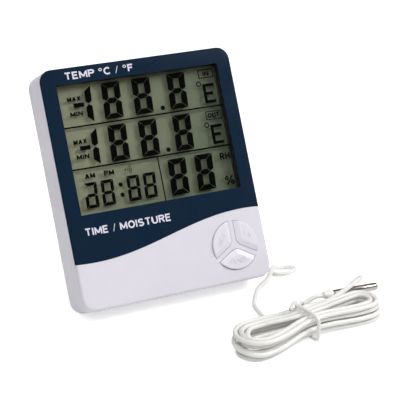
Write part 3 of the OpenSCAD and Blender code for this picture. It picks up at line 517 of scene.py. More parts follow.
# Each letter's width for a height of one, and the lines of the pen that draw it in a square from 0 to 1.
letter_bowl = arc(0.6, 0.76, 0.4, 0.24, 90, -90)
left_post, right_post = [(0, -0.06), (0, 1.06)], [(1, -0.06), (1, 1.06)]
letter_strokes = {
    "A": (0.78, [[(0, -0.04), (0.47, 1)], [(0.53, 1), (1, -0.04)], [(0.16, 0.33), (0.84, 0.33)]]),
    "C": (0.74, [arc(0.56, 0.5, 0.56, 0.5, 48, 312, 16)]),
    "D": (0.72, [[(0, 0), (0, 1)] + arc(0.45, 0.5, 0.55, 0.5, 90, -90, 12) + [(-0.04, 0)]]),
    "E": (0.6, [[(1, 1), (0, 1), (0, 0), (1, 0)], [(0, 0.52), (0.9, 0.52)]]),
    "F": (0.58, [[(0, -0.06), (0, 1), (1, 1)], [(0, 0.52), (0.86, 0.52)]]),
    "H": (0.7, [left_post, right_post, [(0, 0.52), (1, 0.52)]]),
    "I": (0.0, [left_post]),
    "M": (0.86, [left_post, right_post, [(0.02, 1), (0.5, 0.12)], [(0.98, 1), (0.5, 0.12)]]),
    "N": (0.7, [left_post, right_post, [(0, 1), (1, 0)]]),
    "O": (0.78, [arc(0.5, 0.5, 0.5, 0.5, 0, 360, 24)]),
    "P": (0.64, [[(0, -0.06), (0, 1)] + letter_bowl + [(0, 0.52)]]),
    "R": (0.68, [[(0, -0.06), (0, 1)] + letter_bowl + [(0, 0.52)], [(0.5, 0.52), (1, -0.06)]]),
    "S": (0.68, [arc(0.5, 0.76, 0.48, 0.24, 30, 270, 12) + arc(0.5, 0.26, 0.48, 0.26, 90, -150, 12)[1:]]),
    "T": (0.7, [[(0, 1), (1, 1)], [(0.5, 1), (0.5, -0.06)]]),
    "U": (0.7, [[(0, 1.06), (0, 0.34)] + arc(0.5, 0.34, 0.5, 0.34, 180, 360, 12) + [(1, 1.06)]]),
    "W": (1.0, [[(x, y), (foot, -0.02)] for x, y, foot in (
        (0, 1.06, 0.25), (0.5, 1, 0.25), (0.5, 1, 0.75), (1, 1.06, 0.75))]),
    "X": (0.74, [[(0, -0.04), (1, 1.04)], [(0, 1.04), (1, -0.04)]]),
    "/": (0.34, [[(0, -0.1), (1, 1.1)]]),
    "%": (0.86, [[(0.1, -0.06), (0.9, 1.06)]] + [
        arc(x, y, 0.16, 0.2, 0, 360, 16) for x, y in ((0.16, 0.78), (0.84, 0.22))]),
    "*": (0.36, [arc(0.5, 0.85, 0.5, 0.2, 0, 360, 20)]),
    " ": (0.12, []),
}
fine_pen = {"*": 0.5, "/": 0.4, "%": 0.75}


def stroke_strip(line, half):
    """A line drawn with a broad pen, as points and faces."""
    points = []
    for i, p in enumerate(line):
        before = Vector(p) - Vector(line[i - 1]) if i else Vector(line[1]) - Vector(p)
        after = Vector(line[i + 1]) - Vector(p) if i + 1 < len(line) else before
        if line[0] == line[-1] and i in (0, len(line) - 1):
            before, after = Vector(line[-1]) - Vector(line[-2]), Vector(line[1]) - Vector(line[0])
        along = (before.normalized() + after.normalized()).normalized()
        reach = half / max(along.dot(after.normalized()), 0.6)
        points += [
            (p[0] - along.y * reach, p[1] + along.x * reach),
            (p[0] + along.y * reach, p[1] - along.x * reach)]
    return points, [(2 * i, 2 * i + 1, 2 * i + 3, 2 * i + 2) for i in range(len(line) - 1)]


def lettering(words, width, height, stroke, slant=0.0):
    """Plain capitals in a box from the origin, in millimetres, drawn with one pen. Each stroke is (points,
    faces)."""
    gap = 0.12 * height + stroke
    natural = sum(letter_strokes[c][0] for c in words) * height
    stretch = (width - stroke - gap * (len(words) - 1)) / natural
    outlines, left = [], stroke / 2
    for c in words:
        share, lines = letter_strokes[c]
        wide = share * height * stretch
        for line in lines:
            pen = [(left + x * wide, stroke / 2 + y * (height - stroke)) for x, y in line]
            tilted = [(x + slant * y, y) for x, y in pen]
            outlines.append(stroke_strip(tilted, stroke / 2 * fine_pen.get(c, 1.0)))
        left += wide + gap
    return outlines


def face_words(words, left, top, width, height, stroke, slant=0.0):
    """Lettering on the face, in a box given from the face's upper left corner."""
    x0, y0 = left - case_width / 2, case_height - top - height
    outlines = lettering(words, width, height, stroke, slant)
    return [([(x0 + x, y0 + y) for x, y in points], faces) for points, faces in outlines]


def built(bm, name, turn=0, matrix=None):
    """Ends a mesh: its faces look outwards, a matrix moves it, and edges below an angle of turn are shaded as
    round."""
    bmesh.ops.recalc_face_normals(bm, faces=bm.faces)
    mesh = bpy.data.meshes.new(name)
    bm.to_mesh(mesh)
    bm.free()
    if matrix:
        mesh.transform(matrix)
    return smoothed(mesh, turn) if turn else mesh


def raised(name, outlines, back, front, where):
    """Flat faces drawn in millimetres, raised between two depths. Each outline is (points, faces), and
    where() takes an x, a depth and a height to the table."""
    bm = bmesh.new()
    for points, faces in outlines:
        rear = [bm.verts.new((x, y, 0)) for x, y in points]
        for f in faces:
            if len({rear[i] for i in f}) > 2:
                bm.faces.new([rear[i] for i in f])
    bmesh.ops.recalc_face_normals(bm, faces=bm.faces)
    for f in bm.faces:
        if f.normal.z < 0:
            f.normal_flip()
    lifted = bmesh.ops.extrude_face_region(bm, geom=bm.faces[:], use_keep_orig=True)
    for v in [g for g in lifted["geom"] if isinstance(g, bmesh.types.BMVert)]:
        v.co.z = 1
    for v in bm.verts:
        v.co = where(v.co.x, back + (front - back) * v.co.z, v.co.y)
    return built(bm, name)


on_panel = raised(
    "panel_words", [stroke for row in panel_rows for stroke in face_words(*row)], panel_step + ink_sunk,
    panel_step - ink_thick, placed)
new_piece("panel_words", on_panel, print_white, "case")


# Display: two glass plates with liquid crystal between them, a matt polariser in front, a grey-green
# reflector a little way behind, so each lit segment throws a soft shadow on it. All segments are on, as in a
# test of the display.
polariser, tree, shader = new_material("polariser_film", Roughness=0.3, Specular_IOR_Level=0.03, Alpha=0.004)
film = noise(tree, here(tree), 900.0, 3)
feed(
    tree, shader, Base_Color=between(tree, film, paint("#7c8470"), paint("#8c937c")),
    Normal=embossed(tree, film, 0.1, 0.00001))
rear_glass, tree, shader = new_material("rear_glass", Roughness=0.1, Specular_IOR_Level=0.05, Alpha=0.03)
tint = noise(tree, here(tree), 60.0, 2)
feed(tree, shader, Base_Color=between(tree, tint, paint("#a9b39c"), paint("#96a08a")))

# Reflector film: olive grey and mottled, with painted reflected light that makes it lighter and warmer to the
# left and darker and greener to the right, and a fine metallic grain.
reflector, tree, shader = new_material("reflector_film", Roughness=0.55, Specular_IOR_Level=0.3)
place = here(tree)
# Painted light: the mottled tone shifts across the window, so the reflector is painted lighter on the left
# and darker on the right.
across = remap(tree, node(tree, "ShaderNodeSeparateXYZ", {"Vector": place}).outputs["X"], -0.04, 0.04)
mottle_and_painted_light = maths(tree, "MULTIPLY_ADD", noise(tree, place, 38.0, 3), 0.5, across)
sand = noise(tree, place, 2600.0, 2)
tone = between(tree, remap(tree, mottle_and_painted_light, 0.15, 1.3), paint("#878a70"), paint("#505b47"))
grainy = node(tree, "ShaderNodeHueSaturation", {
    "Color": tone, "Value": remap(tree, sand, 0.3, 0.7, 0.93, 1.07)})
feed(tree, shader, Base_Color=grainy.outputs[0], Normal=embossed(tree, sand, 0.2, 0.00002))

liner_black = plastic("liner_black", "#1a1614", grain_mm=0.3, depth=0.3, gloss=0.55, dust=0.3)
for cad_node, material in (
    ("lcd_front_glass", polariser), ("lcd_rear_glass", rear_glass), ("lcd_reflector", reflector),
    ("lcd_bezel", liner_black), ("lcd_holder", liner_black),
):
    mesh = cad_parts[cad_node].data
    mesh.materials.clear()
    mesh.materials.append(material)

segment_black, tree, shader = new_material("segment_black", Roughness=0.8, Specular_IOR_Level=0.0)
ink = noise(tree, here(tree), 1500.0, 2)
feed(tree, shader, Base_Color=between(tree, ink, (0.001, 0.001, 0.001, 1), (0.003, 0.003, 0.003, 1)))
crystal_depth = 3.64
crystal_thick = 0.04
digit_lean = math.tan(math.radians(3.2))
see_through = 0.22


def segments(width, height, upright, level, gap, without=()):
    """The seven segments of a digit as outlines in millimetres from its lower left corner, before it is
    slanted. Its uprights and levels have their own thickness."""
    w, h, c, g = width, height, height / 2, gap * 0.7
    x, y = upright, level
    top = [(g, h), (w - g, h), (w - x - g * 0.4, h - y), (x + g * 0.4, h - y)]
    upper_left = [(0, h - g), (x, h - y - g), (x, c + y / 2 + g), (x * 0.55, c + g), (0, c + y * 0.42 + g)]
    middle = [(x * 0.55 + g, c), (x + g, c + y / 2), (w - x - g, c + y / 2), (w - x * 0.55 - g, c),
              (w - x - g, c - y / 2), (x + g, c - y / 2)]
    shapes = {
        "top": top,
        "bottom": [(px, h - py) for px, py in reversed(top)],
        "upper_left": upper_left,
        "upper_right": [(w - px, py) for px, py in reversed(upper_left)],
        "lower_left": [(px, h - py) for px, py in reversed(upper_left)],
        "lower_right": [(w - px, h - py) for px, py in upper_left],
        "middle": middle,
    }
    return [shape for name, shape in shapes.items() if name not in without]


def face_point(across, down):
    """A place on the face, given from its upper left corner, in the case's own x and height."""
    return across - case_width / 2, case_height - down


def round_points(across, down, r, angles):
    """Points round a place of the face."""
    x, y = face_point(across, down)
    return [(x + r * math.cos(a), y + r * math.sin(a)) for a in angles]


def disc(across, down, r, inner=0.0, steps=24):
    """A dot on the display, or a ring."""
    angles = [2 * math.pi * i / steps for i in range(steps)]
    points = round_points(across, down, r, angles)
    if not inner:
        return points, [tuple(range(steps))]
    points += round_points(across, down, inner, angles)
    return points, [(i, (i + 1) % steps, steps + (i + 1) % steps, steps + i) for i in range(steps)]


def wave(across, down, r, line):
    """Part of a ring on the display that opens to the right, as radio waves are drawn."""
    angles = [math.radians(a) for a in range(-42, 43, 12)]
    points = round_points(across, down, r, angles) + round_points(across, down, r + line, reversed(angles))
    last = len(points) - 1
    return points, [(i, i + 1, last - 1 - i, last - i) for i in range(len(angles) - 1)]


def bar(left, top, width, height):
    """A rectangle on the display, from its upper left corner."""
    x, y = face_point(left, top)
    return [(x, y - height), (x + width, y - height), (x + width, y), (x, y)], [(0, 1, 2, 3)]


def frame_line(left, top, width, height, line):
    """A thin rectangular frame on the display."""
    inside = height - 2 * line
    return [
        bar(left, top, width, line), bar(left, top + height - line, width, line),
        bar(left, top + line, line, inside), bar(left + width - line, top + line, line, inside)]


def slanted(shape, x0=0.0, y0=0.0):
    """A digit's outline leant to the right, from its lower left corner."""
    return [(x0 + x + digit_lean * y, y0 + y) for x, y in shape], [tuple(range(len(shape)))]


# Sizes of a large and of a small digit, as segments() takes them, and the upper left corner of each digit.
# The clock's first digit and the ones before the large digits have fewer segments.
large = (9.0, 16.7, 3.0, 2.45, 0.22)
small = (6.1, 11.6, 1.55, 1.45, 0.14)
row_1, row_2, row_3 = 8.9, 28.45, 48.35
large_places = [
    (28.4, row_1), (43.45, row_1), (61.1, row_1), (27.6, row_2), (42.7, row_2), (60.0, row_2), (53.45, row_3),
    (67.05, row_3)]
clock_top = 52.6
clock_places = [(11.5, ("upper_left",)), (19.55, ()), (32.2, ()), (40.3, ())]
one = [
    [(x - large[0] + large[2], y) for x, y in shape]
    for shape in segments(*large, without=("top", "bottom", "upper_left", "lower_left", "middle"))]
line_wide, letter_lean = 0.42, 0.08

drawn_shapes = [
    slanted(shape, *face_point(left, clock_top + small[1]))
    for left, without in clock_places for shape in segments(*small, without=without)]
for top, shift, ring_drop in ((row_1, 0.0, 0.0), (row_2, -0.9, 0.1)):
    drawn_shapes += [slanted(shape, *face_point(20.1 + shift, top + large[1])) for shape in one]
    drawn_shapes.append(bar(14.6 + shift, top + 7.35, 5.0, 1.95))
    for word, left, down, width in (("MAX", 11.9, 4.1, 6.5), ("MIN", 12.1, 10.95, 6.1)):
        drawn_shapes += face_words(word, left + shift, top + down, width, 2.4, 0.62, letter_lean)
    drawn_shapes.append(disc(57.25 + shift * 1.4, top + 15.25, 1.08))
    drawn_shapes.append(disc(77.4, top + 6.85 + ring_drop, 1.3, 0.78))
    for rise, length in ((7.1, 5.4), (11.0, 4.2), (14.9, 5.1)):
        drawn_shapes.append(bar(79.6, top + rise, length, 1.35))
    drawn_shapes.append(bar(79.1, top + 7.1, 1.4, 9.15))
for left, top, width, word, word_left, word_width in (
    (78.0, 9.15, 7.8, "IN", 80.3, 3.1), (77.9, 29.0, 7.9, "OUT", 78.8, 6.1),
):
    drawn_shapes += frame_line(left, top, width, 4.15, line_wide)
    drawn_shapes += face_words(word, word_left, top + 0.9, word_width, 2.4, 0.54, letter_lean)
drawn_shapes += [bar(6.0, 26.5, 84.0, 0.75), bar(6.0, 45.65, 84.0, 0.75), bar(49.55, 46.2, 0.6, 22.0)]
for row in (
    ("AM", 13.3, row_3, 5.0, 2.6, 0.66, 0.03), ("PM", 22.6, row_3, 4.9, 2.6, 0.66, 0.03),
    ("RH", 80.9, 49.3, 5.1, 3.3, 0.72), ("%", 81.2, 60.2, 4.9, 4.5, 0.8),
):
    drawn_shapes += face_words(*row)
drawn_shapes += [disc(29.5, 55.8, 1.0), disc(29.5, 60.5, 1.0), disc(33.2, 49.5, 0.35)]
drawn_shapes += [wave(33.2, 49.5, r, 0.28) for r in (1.1, 1.9, 2.7)]


def on_crystal(x, depth, z):
    """A point of the crystal on the table, moved for the way its glass bends the view."""
    return placed(x + see_through, depth, z)


legends = raised("display_legends", drawn_shapes, crystal_depth + crystal_thick, crystal_depth, on_crystal)
new_piece("display_legends", legends, segment_black, "case")


def layout_group(name, **inputs):
    """A Geometry Nodes group with inputs of the kinds given, the sockets' identifiers, and its two ends."""
    tree = bpy.data.node_groups.new(name, "GeometryNodeTree")
    sockets = {}
    for label, kind in inputs.items():
        socket = tree.interface.new_socket(
            label.replace("_", " "), in_out="INPUT", socket_type="NodeSocket" + kind)
        sockets[label] = socket.identifier
    tree.interface.new_socket("Geometry", in_out="OUTPUT", socket_type="NodeSocketGeometry")
    return tree, sockets, node(tree, "NodeGroupInput").outputs, node(tree, "NodeGroupOutput")


def laid_out(name, points, tree, sockets, **values):
    """The plain mesh that a Geometry Nodes group makes of points, with values for its inputs."""
    start = bpy.data.meshes.new(name + "_points")
    start.from_pydata([tuple(p) for p in points], [], [])
    holder = into_scene(name, start)
    layout = holder.modifiers.new("layout", "NODES")
    layout.node_group = tree
    for label, value in values.items():
        layout[sockets[label]] = value
    bpy.context.view_layer.update()
    mesh = bpy.data.meshes.new_from_object(holder.evaluated_get(bpy.context.evaluated_depsgraph_get()))
    bpy.data.objects.remove(holder)
    mesh.name = name
    return mesh


def spread(name, points, pattern_mesh, material):
    """Copies of a small mesh at points, made by Geometry Nodes and turned into one plain mesh."""
    tree, sockets, given, made = layout_group(
        name + "_layout", Points="Geometry", Pattern="Object", Size="Float")
    shape = node(tree, "GeometryNodeObjectInfo", {"Object": given["Pattern"]}).outputs["Geometry"]
    size = node(tree, "ShaderNodeCombineXYZ", {i: given["Size"] for i in range(3)}).outputs[0]
    copies = node(tree, "GeometryNodeInstanceOnPoints", {
        "Points": given["Points"], "Instance": shape, "Scale": size})
    solid = node(tree, "GeometryNodeRealizeInstances", {"Geometry": copies.outputs[0]}).outputs[0]
    painted = node(tree, "GeometryNodeSetMaterial", {"Geometry": solid, "Material": material}).outputs[0]
    feed(tree, made, Geometry=painted)
    pattern = into_scene(name + "_pattern", pattern_mesh)
    mesh = laid_out(name, points, tree, sockets, Pattern=pattern, Size=1.0)
    bpy.data.objects.remove(pattern)
    return new_piece(name, mesh, material, "case")


def from_origin(x, depth, z):
    """A move in the case's own axes as one on the table, for a pattern that is drawn round the origin."""
    return placed(x, depth, z) - placed(0, 0, 0)


eight = raised("large_eight", [slanted(shape) for shape in segments(*large)], crystal_thick, 0.0, from_origin)
digit_points = []
for left, top in large_places:
    x, z = face_point(left, top + large[1])
    digit_points.append(on_crystal(x, crystal_depth, z))
spread("large_digits", digit_points, eight, segment_black)


# Keys: three sectors of one circle, moulded in the same plastic as the case, each with two flat slopes along
# the arms between them, a rounded rim and a raised word. A flange keeps it behind the wall, a stem ends on
# its rubber dome.
keys_x, keys_z, keys_radius = 30.95, 17.2, 11.6
arm_width, key_gap, tip_cut = 2.06, 0.2, 0.65
key_proud, edge_height, slope_width, rim_round = 1.0, 0.08, 2.25, 0.5
half_turn = math.radians(60)
plan_rows, plan_columns = 44, 84
flange_wider, flange_gap, flange_front, flange_back = 0.6, -0.46, 2.4, 3.4
stem_reach, stem_radius, stem_back = 6.8, 2.2, 5.0
word_high, word_pen, word_sunk, word_proud = 2.3, 0.4, -0.12, 0.2

# Each key's turn, and its word with the radius of the word's arc and its length.
keys = [("left", 150, "SET", 7.4, 6.6), ("right", 30, "UP", 8.2, 4.8), ("bottom", 270, "DOWN", 7.6, 8.0)]


def soft_least(a, b, blend):
    """The smaller of two numbers, rounded where they meet."""
    h = max(blend - abs(a - b), 0.0) / blend
    return min(a, b) - h * h * blend / 4


def key_height(u, v):
    """How far a key stands out of the face at a point of its own plan, with u along its middle line."""
    apex = (arm_width / 2 + key_gap) / math.sin(half_turn)
    sides = [(u - apex) * math.sin(half_turn) - s * v * math.cos(half_turn) for s in (-1, 1)]
    rise = soft_least(max(soft_least(sides[0], sides[1], 0.5), 0.0) / slope_width, 1.0, 0.16)
    height = edge_height + (key_proud - edge_height) * rise
    inward = max(keys_radius - key_gap - math.hypot(u, v), 0.0)
    if inward < rim_round:
        height -= rim_round - math.sqrt(rim_round ** 2 - (rim_round - inward) ** 2)
    return max(height, 0.0)


def key_plan(radius, gap, rows, columns):
    """Rings of points over a key's plan, from its cut tip to its rim, each from one straight edge to the
    other."""
    apex = (arm_width / 2 + gap) / math.sin(half_turn)
    rings = []
    for i in range(rows + 1):
        share = 1 - (1 - i / rows) ** 1.35
        ring = []
        for j in range(columns + 1):
            a = math.radians(-60 + 120 * j / columns)
            near = tip_cut / math.cos(a)
            far = -apex * math.cos(a) + math.sqrt(radius ** 2 - (apex * math.sin(a)) ** 2)
            r = mix(near, far, share)
            ring.append((apex + r * math.cos(a), r * math.sin(a)))
        rings.append(ring)
    return rings


def outline_of(rings):
    """The closed outline of a plan's rings, once round."""
    one_side = [ring[-1] for ring in rings[1:-1]]
    other_side = [ring[0] for ring in rings[-2:0:-1]]
    return rings[0] + one_side + rings[-1][::-1] + other_side


def on_key(turn, u, v, depth):
    """A point of a key's own plan at a depth behind the face, on the table."""
    c, s = math.cos(turn), math.sin(turn)
    return placed(keys_x + u * c - v * s, depth, keys_z + u * s + v * c)


def skin(bm, rings):
    """Adds the faces between rings of corners that go once round, each joined to the next."""
    for a, b in zip(rings, rings[1:]):
        for i in range(len(a)):
            j = (i + 1) % len(a)
            bm.faces.new((a[i], a[j], b[j], b[i]))


def add_prism(bm, turn, outline, front, back):
    """Adds a flat prism over an outline between two depths."""
    ends = [[bm.verts.new(on_key(turn, u, v, depth)) for u, v in outline] for depth in (front, back)]
    for end in ends:
        bm.faces.new(end)
    skin(bm, ends)


def key_word(turn, word, radius, length, upright):
    """The mesh of a word that follows an arc about the middle of the circle and stands a little out of the
    key."""
    out = -1 if upright else 1

    def bent(x, lift, y):
        """Where a point of the flat word goes."""
        r, a = radius + out * (y - word_high / 2), -out * (x - length / 2) / radius
        u, v = r * math.cos(a), r * math.sin(a)
        return on_key(turn, u, v, -key_height(u, v) - lift)

    return raised("key_word", lettering(word, length, word_high, word_pen), word_sunk, word_proud, bent)


key_pale = plastic("key_abs_pale", "#e2dfe8", grain_mm=0.2, depth=0.2, gloss=0.42, dust=0.1)
for side, degrees, word, word_radius, word_length in keys:
    turn = math.radians(degrees)
    bm = bmesh.new()
    plan = key_plan(keys_radius - key_gap, key_gap, plan_rows, plan_columns)
    top = [[bm.verts.new(on_key(turn, u, v, -key_height(u, v))) for u, v in ring] for ring in plan]
    for a, b in zip(top, top[1:]):
        for j in range(plan_columns):
            bm.faces.new((a[j], b[j], b[j + 1], a[j + 1]))
    foot = [bm.verts.new(on_key(turn, u, v, flange_front + 0.1)) for u, v in outline_of(plan)]
    skin(bm, [foot, outline_of(top)])
    bm.faces.new(foot)
    flange = outline_of(key_plan(keys_radius + flange_wider, flange_gap, 2, 24))
    add_prism(bm, turn, flange, flange_front, flange_back)
    circle = [2 * math.pi * i / 32 for i in range(32)]
    stem = [(stem_reach + stem_radius * math.cos(a), stem_radius * math.sin(a)) for a in circle]
    add_prism(bm, turn, stem, flange_back - 0.1, stem_back)
    word_mesh = key_word(turn, word, word_radius, word_length, side == "bottom")
    bm.from_mesh(word_mesh)
    bpy.data.meshes.remove(word_mesh)
    mesh = built(bm, "key_cap_" + side, 42)
    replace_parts(new_piece("key_cap_" + side, mesh, key_pale, "key_" + side), "key_" + side)


# Inside of the display: a strip of rubber in hair-thin dark and pale layers carries the signals from the
# board to the glass. It is cut from a block and only pressed in place.
case_axes, given, made = new_group("case_axes", outputs=["Vector"])
feed(case_axes, made, Vector=node(case_axes, "ShaderNodeMapping", {
    "Vector": here(case_axes), "Rotation": (lean, 0, 0)}).outputs[0])


def in_case(tree):
    """The case's own x, depth and height in a material, in metres."""
    return node(tree, "ShaderNodeGroup", node_tree=case_axes).outputs["Vector"]


layered_rubber, tree, shader = new_material("layered_rubber", Roughness=0.6, Specular_IOR_Level=0.3)
layers = node(tree, "ShaderNodeTexWave", {
    "Vector": in_case(tree), "Scale": 900.0, "Distortion": 0.3, "Detail": 1.0}).outputs["Fac"]
feed(
    tree, shader, Base_Color=between(tree, layers, paint("#2a2728"), paint("#c9a3a0")),
    Normal=embossed(tree, layers, 0.2, 0.00002))
smooth_copy("layered_contact_strip", "contact_strip", layered_rubber, "case")


# Circuit board: glass-fibre sheet under green lacquer, with the copper tracks showing through as paler lines,
# tinned holes, and small ceramic parts soldered to its back.
board_lacquer, tree, shader = new_material(
    "board_lacquer", Specular_IOR_Level=0.45, Coat_Weight=0.25, Coat_Roughness=0.2)
place = in_case(tree)
split = node(tree, "ShaderNodeSeparateXYZ", {"Vector": place}).outputs
blocks = node(tree, "ShaderNodeTexVoronoi", {
    "Vector": place, "Scale": 105.0, "Randomness": 0.7}, distance="CHEBYCHEV").outputs["Color"]
choice = node(tree, "ShaderNodeSeparateColor", {"Color": blocks}).outputs
tracks = [
    maths(tree, "LESS_THAN", maths(tree, "FRACT", maths(tree, "MULTIPLY", split[axis], 1100.0)), 0.42)
    for axis in ("X", "Z")]
upright = maths(tree, "GREATER_THAN", choice[0], 0.5)
lines = node(tree, "ShaderNodeMix", {0: upright, 2: tracks[0], 3: tracks[1]}).outputs[0]
copper = maths(tree, "MAXIMUM", lines, maths(tree, "GREATER_THAN", choice[1], 0.72))
holes = node(tree, "ShaderNodeTexVoronoi", {
    "Vector": place, "Scale": 330.0, "Randomness": 0.8}).outputs["Distance"]
tinned = maths(tree, "MULTIPLY", maths(tree, "LESS_THAN", holes, 0.13), copper)
weave = noise(tree, place, 1400.0, 2)
lacquer = between(tree, copper, paint("#1d5a31"), paint("#3c8a4a"))
feed(
    tree, shader, Base_Color=between(tree, tinned, lacquer, paint("#c8c6bb")), Metallic=tinned,
    Roughness=remap(tree, weave, 0.0, 1.0, 0.3, 0.48),
    Normal=embossed(tree, maths(tree, "MULTIPLY_ADD", weave, 0.15, copper), 0.4, 0.00004))
smooth_copy("lacquered_board", "circuit_board", board_lacquer, "case")

turn_only = Matrix.Rotation(-lean, 4, "X") @ Matrix.Scale(mm, 4)
to_table = Matrix.Translation(placed(0, 0, 0)) @ turn_only
board_back = 9.0


def soft_block(name, size, radius):
    """A small block with rounded edges round the origin, standing with its foot on depth zero."""
    bm = bmesh.new()
    bmesh.ops.create_cube(bm, size=1.0)
    for v in bm.verts:
        v.co = Vector((v.co.x * size[0], (v.co.y + 0.5) * size[1], v.co.z * size[2]))
    bmesh.ops.bevel(bm, geom=bm.edges[:], offset=radius, segments=2, profile=0.5, affect="EDGES")
    return built(bm, name, 50, turn_only)


ceramic = plastic("ceramic_black", "#26242a", grain_mm=0.15, depth=0.2, gloss=0.4, dust=0.05)
chip_places = [
    (-14, 40), (-9, 40), (-4, 40), (1, 40), (-14, 44), (-9, 44), (8, 36), (8, 40), (-12, 15), (-7, 15),
    (-2, 15), (-17, 30)]
chip_end = 0.72
spread("ceramic_chips", [placed(x, board_back, z) for x, z in chip_places],
       soft_block("ceramic_chip", (1.3, 0.55, 1.2), 0.08), ceramic)

# Tin and zinc: plated metal with a faint flow of the bath over it, fine scratches and dull spots.
plated, given, made = new_group("plated_metal", Colour=pale_grey, Dull=mid_grey, Gloss=0.3)
place = in_case(plated)
spangle = noise(plated, place, 420.0, 4, 0.6)
scuffs = noise(plated, stretched(plated, place, 1.0, 0.15, 1.0), 3600.0, 2)
feed(
    plated, made, Colour=between(plated, spangle, given["Colour"], given["Dull"]),
    Roughness=maths(plated, "MULTIPLY_ADD", spangle, 0.2, given["Gloss"]),
    Normal=embossed(plated, scuffs, 0.1, 0.00001))


def plated_metal(name, code, dull, gloss):
    """A bright metal coat in one colour with its duller tone."""
    return grouped(name, plated, {"Colour": paint(code), "Dull": paint(dull), "Gloss": gloss}, Metallic=1.0)


tin = plated_metal("tin_coat", "#d6d7d9", "#b6b8bb", 0.2)
spread("chip_terminals", [placed(x + s * chip_end, board_back, z) for x, z in chip_places for s in (-1, 1)],
       soft_block("chip_terminal", (0.34, 0.58, 1.24), 0.06), tin)


# What the board carries: the chip under a drop of black resin, the clock crystal in its tin can, the sounder,
# the humidity element behind its slotted cap, the bead that feels the room, and two tact switches.
resin = plastic("resin_black", "#121114", grain_mm=2.2, depth=0.6, gloss=0.24, dust=0.15, Coat_Weight=0.3)
sounder = plastic("sounder_black", "#1d1c1f", grain_mm=0.2, depth=0.3, gloss=0.5, dust=0.2)
cap_white = plastic("cap_white", "#eceae4", grain_mm=0.2, depth=0.25, gloss=0.45, dust=0.15)
for name, cad_node, material, slot, turn in (
    ("resin_drop", "chip_blob", resin, "black_plastic", 70),
    ("crystal_can", "quartz_crystal", tin, "plated_steel", 35),
    ("sounder_can", "buzzer", sounder, "black_plastic", 35),
    ("humidity_cap", "humidity_sensor", cap_white, "white_plastic", 35),
    ("room_bead", "room_thermistor", resin, "black_plastic", 70),
    ("tact_switches", "rear_switches", sounder, "black_plastic", 35),
):
    smooth_copy(name, cad_node, material, "case", turn)


# Key springs: a mat and three domes of moulded silicone in grey, slightly see-through, with a velvety skin.
silicone = plastic(
    "silicone_grey", "#8f9095", grain_mm=0.12, depth=0.25, gloss=0.62, dust=0.4, Sheen_Weight=0.15)
smooth_copy("silicone_mat", "key_mat", silicone, "case", turn=50)
for side in ("left", "right", "bottom"):
    smooth_copy("dome_" + side, "rubber_dome_" + side, silicone, "key_" + side, turn=50)


# Screws: zinc-plated steel with a rounded head, a cross recess and a coarse thread for plastic. Four close
# the case from the back, deep in their wells, and four hold the board on its posts.
thread_pitch, screw_sides = 0.85, 40
well_depth = 14


def screw_mesh(name, shank, head, length, head_thick):
    """A screw along the case's depth, its head's seat at the origin and its head towards the back."""
    core = 0.74 * shank
    steps = [(-length, 0.12 * shank), (-length + 0.9, 0.66 * shank)]
    d = -length + 1.1
    while d < -0.9:
        steps += [(d, core), (d + 0.32 * thread_pitch, shank), (d + 0.44 * thread_pitch, shank),
                  (d + 0.76 * thread_pitch, core)]
        d += thread_pitch
    steps += [(-0.05, core), (0, 0.9 * shank), (0.02, head * 0.96), (0.1, head), (0.45 * head_thick, head)]
    for degrees in (20, 38, 56, 74):
        a = math.radians(degrees)
        steps.append((head_thick * (0.45 + 0.55 * math.sin(a)), head * (0.62 + 0.38 * math.cos(a))))
    steps.append((head_thick, 0.62 * head))
    bm = bmesh.new()
    angles = [2 * math.pi * k / screw_sides for k in range(screw_sides)]
    rings = [[bm.verts.new((r * math.cos(a), d, r * math.sin(a))) for a in angles] for d, r in steps]
    bm.faces.new(rings[0])
    skin(bm, rings)
    arm, half = 0.52 * head, 0.13 * head
    corners = []
    for quarter in range(4):
        c, s = math.cos(math.pi / 2 * quarter), math.sin(math.pi / 2 * quarter)
        for x, z in ((half, -half), (arm, -half), (arm, half)):
            corners.append((x * c - z * s, x * s + z * c))
    cross = [bm.verts.new((x, head_thick, z)) for x, z in corners]
    edges = [bm.edges.new((a, b)) for a, b in zip(cross, cross[1:] + cross[:1])]
    edges += [bm.edges.get((a, b)) for a, b in zip(rings[-1], rings[-1][1:] + rings[-1][:1])]
    bmesh.ops.triangle_fill(bm, use_beauty=True, edges=edges)
    floor = [bm.verts.new((x * 0.6, head_thick * 0.3, z * 0.6)) for x, z in corners]
    skin(bm, [cross, floor])
    bm.faces.new(floor)
    return built(bm, name, 40, turn_only)


zinc = plated_metal("zinc_coat", "#c7c8cb", "#9b9c9f", 0.26)
closing = spread(
    "closing_screws", [placed(x, well_depth, z) for x in (-41.6, 41.6) for z in (5.5, 34.5)],
    screw_mesh("closing_screw", shank=1.05, head=1.8, length=9.8, head_thick=1.5), zinc)
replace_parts(closing, "case_screws")
holding = spread(
    "holding_screws", [placed(x, board_back, z) for x in (-33, 12) for z in (12, 33)],
    screw_mesh("holding_screw", shank=0.9, head=1.8, length=5.4, head_thick=1.0), zinc)
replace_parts(holding, "board_screws")


# Cell: a steel can in a printed sleeve that is shrunk over its rims, black with gold rings and blue towards
# the plus end, with bare steel at both ends. It is a loose part that drops into the bay.
bay_height, cell_depth, cell_start, cell_length = 72, 13.3, -20.3, 44.5
cell_steps = [
    (0, 3.9), (0.08, 4.35), (0.3, 4.8), (0.5, 5.08), (0.75, 5.22), (1.1, 5.25), (43, 5.25), (43.25, 5.2),
    (43.42, 5.05), (43.5, 4.8), (43.56, 4.4), (43.66, 4.3), (43.69, 2.5), (43.74, 2.4), (44.3, 2.35),
    (44.45, 2.15), (44.5, 1.8)]
black, gold, blue = paint("#141416"), paint("#b08d4c"), paint("#1778b4")
bare_low, bare_high = 0.012, 0.976


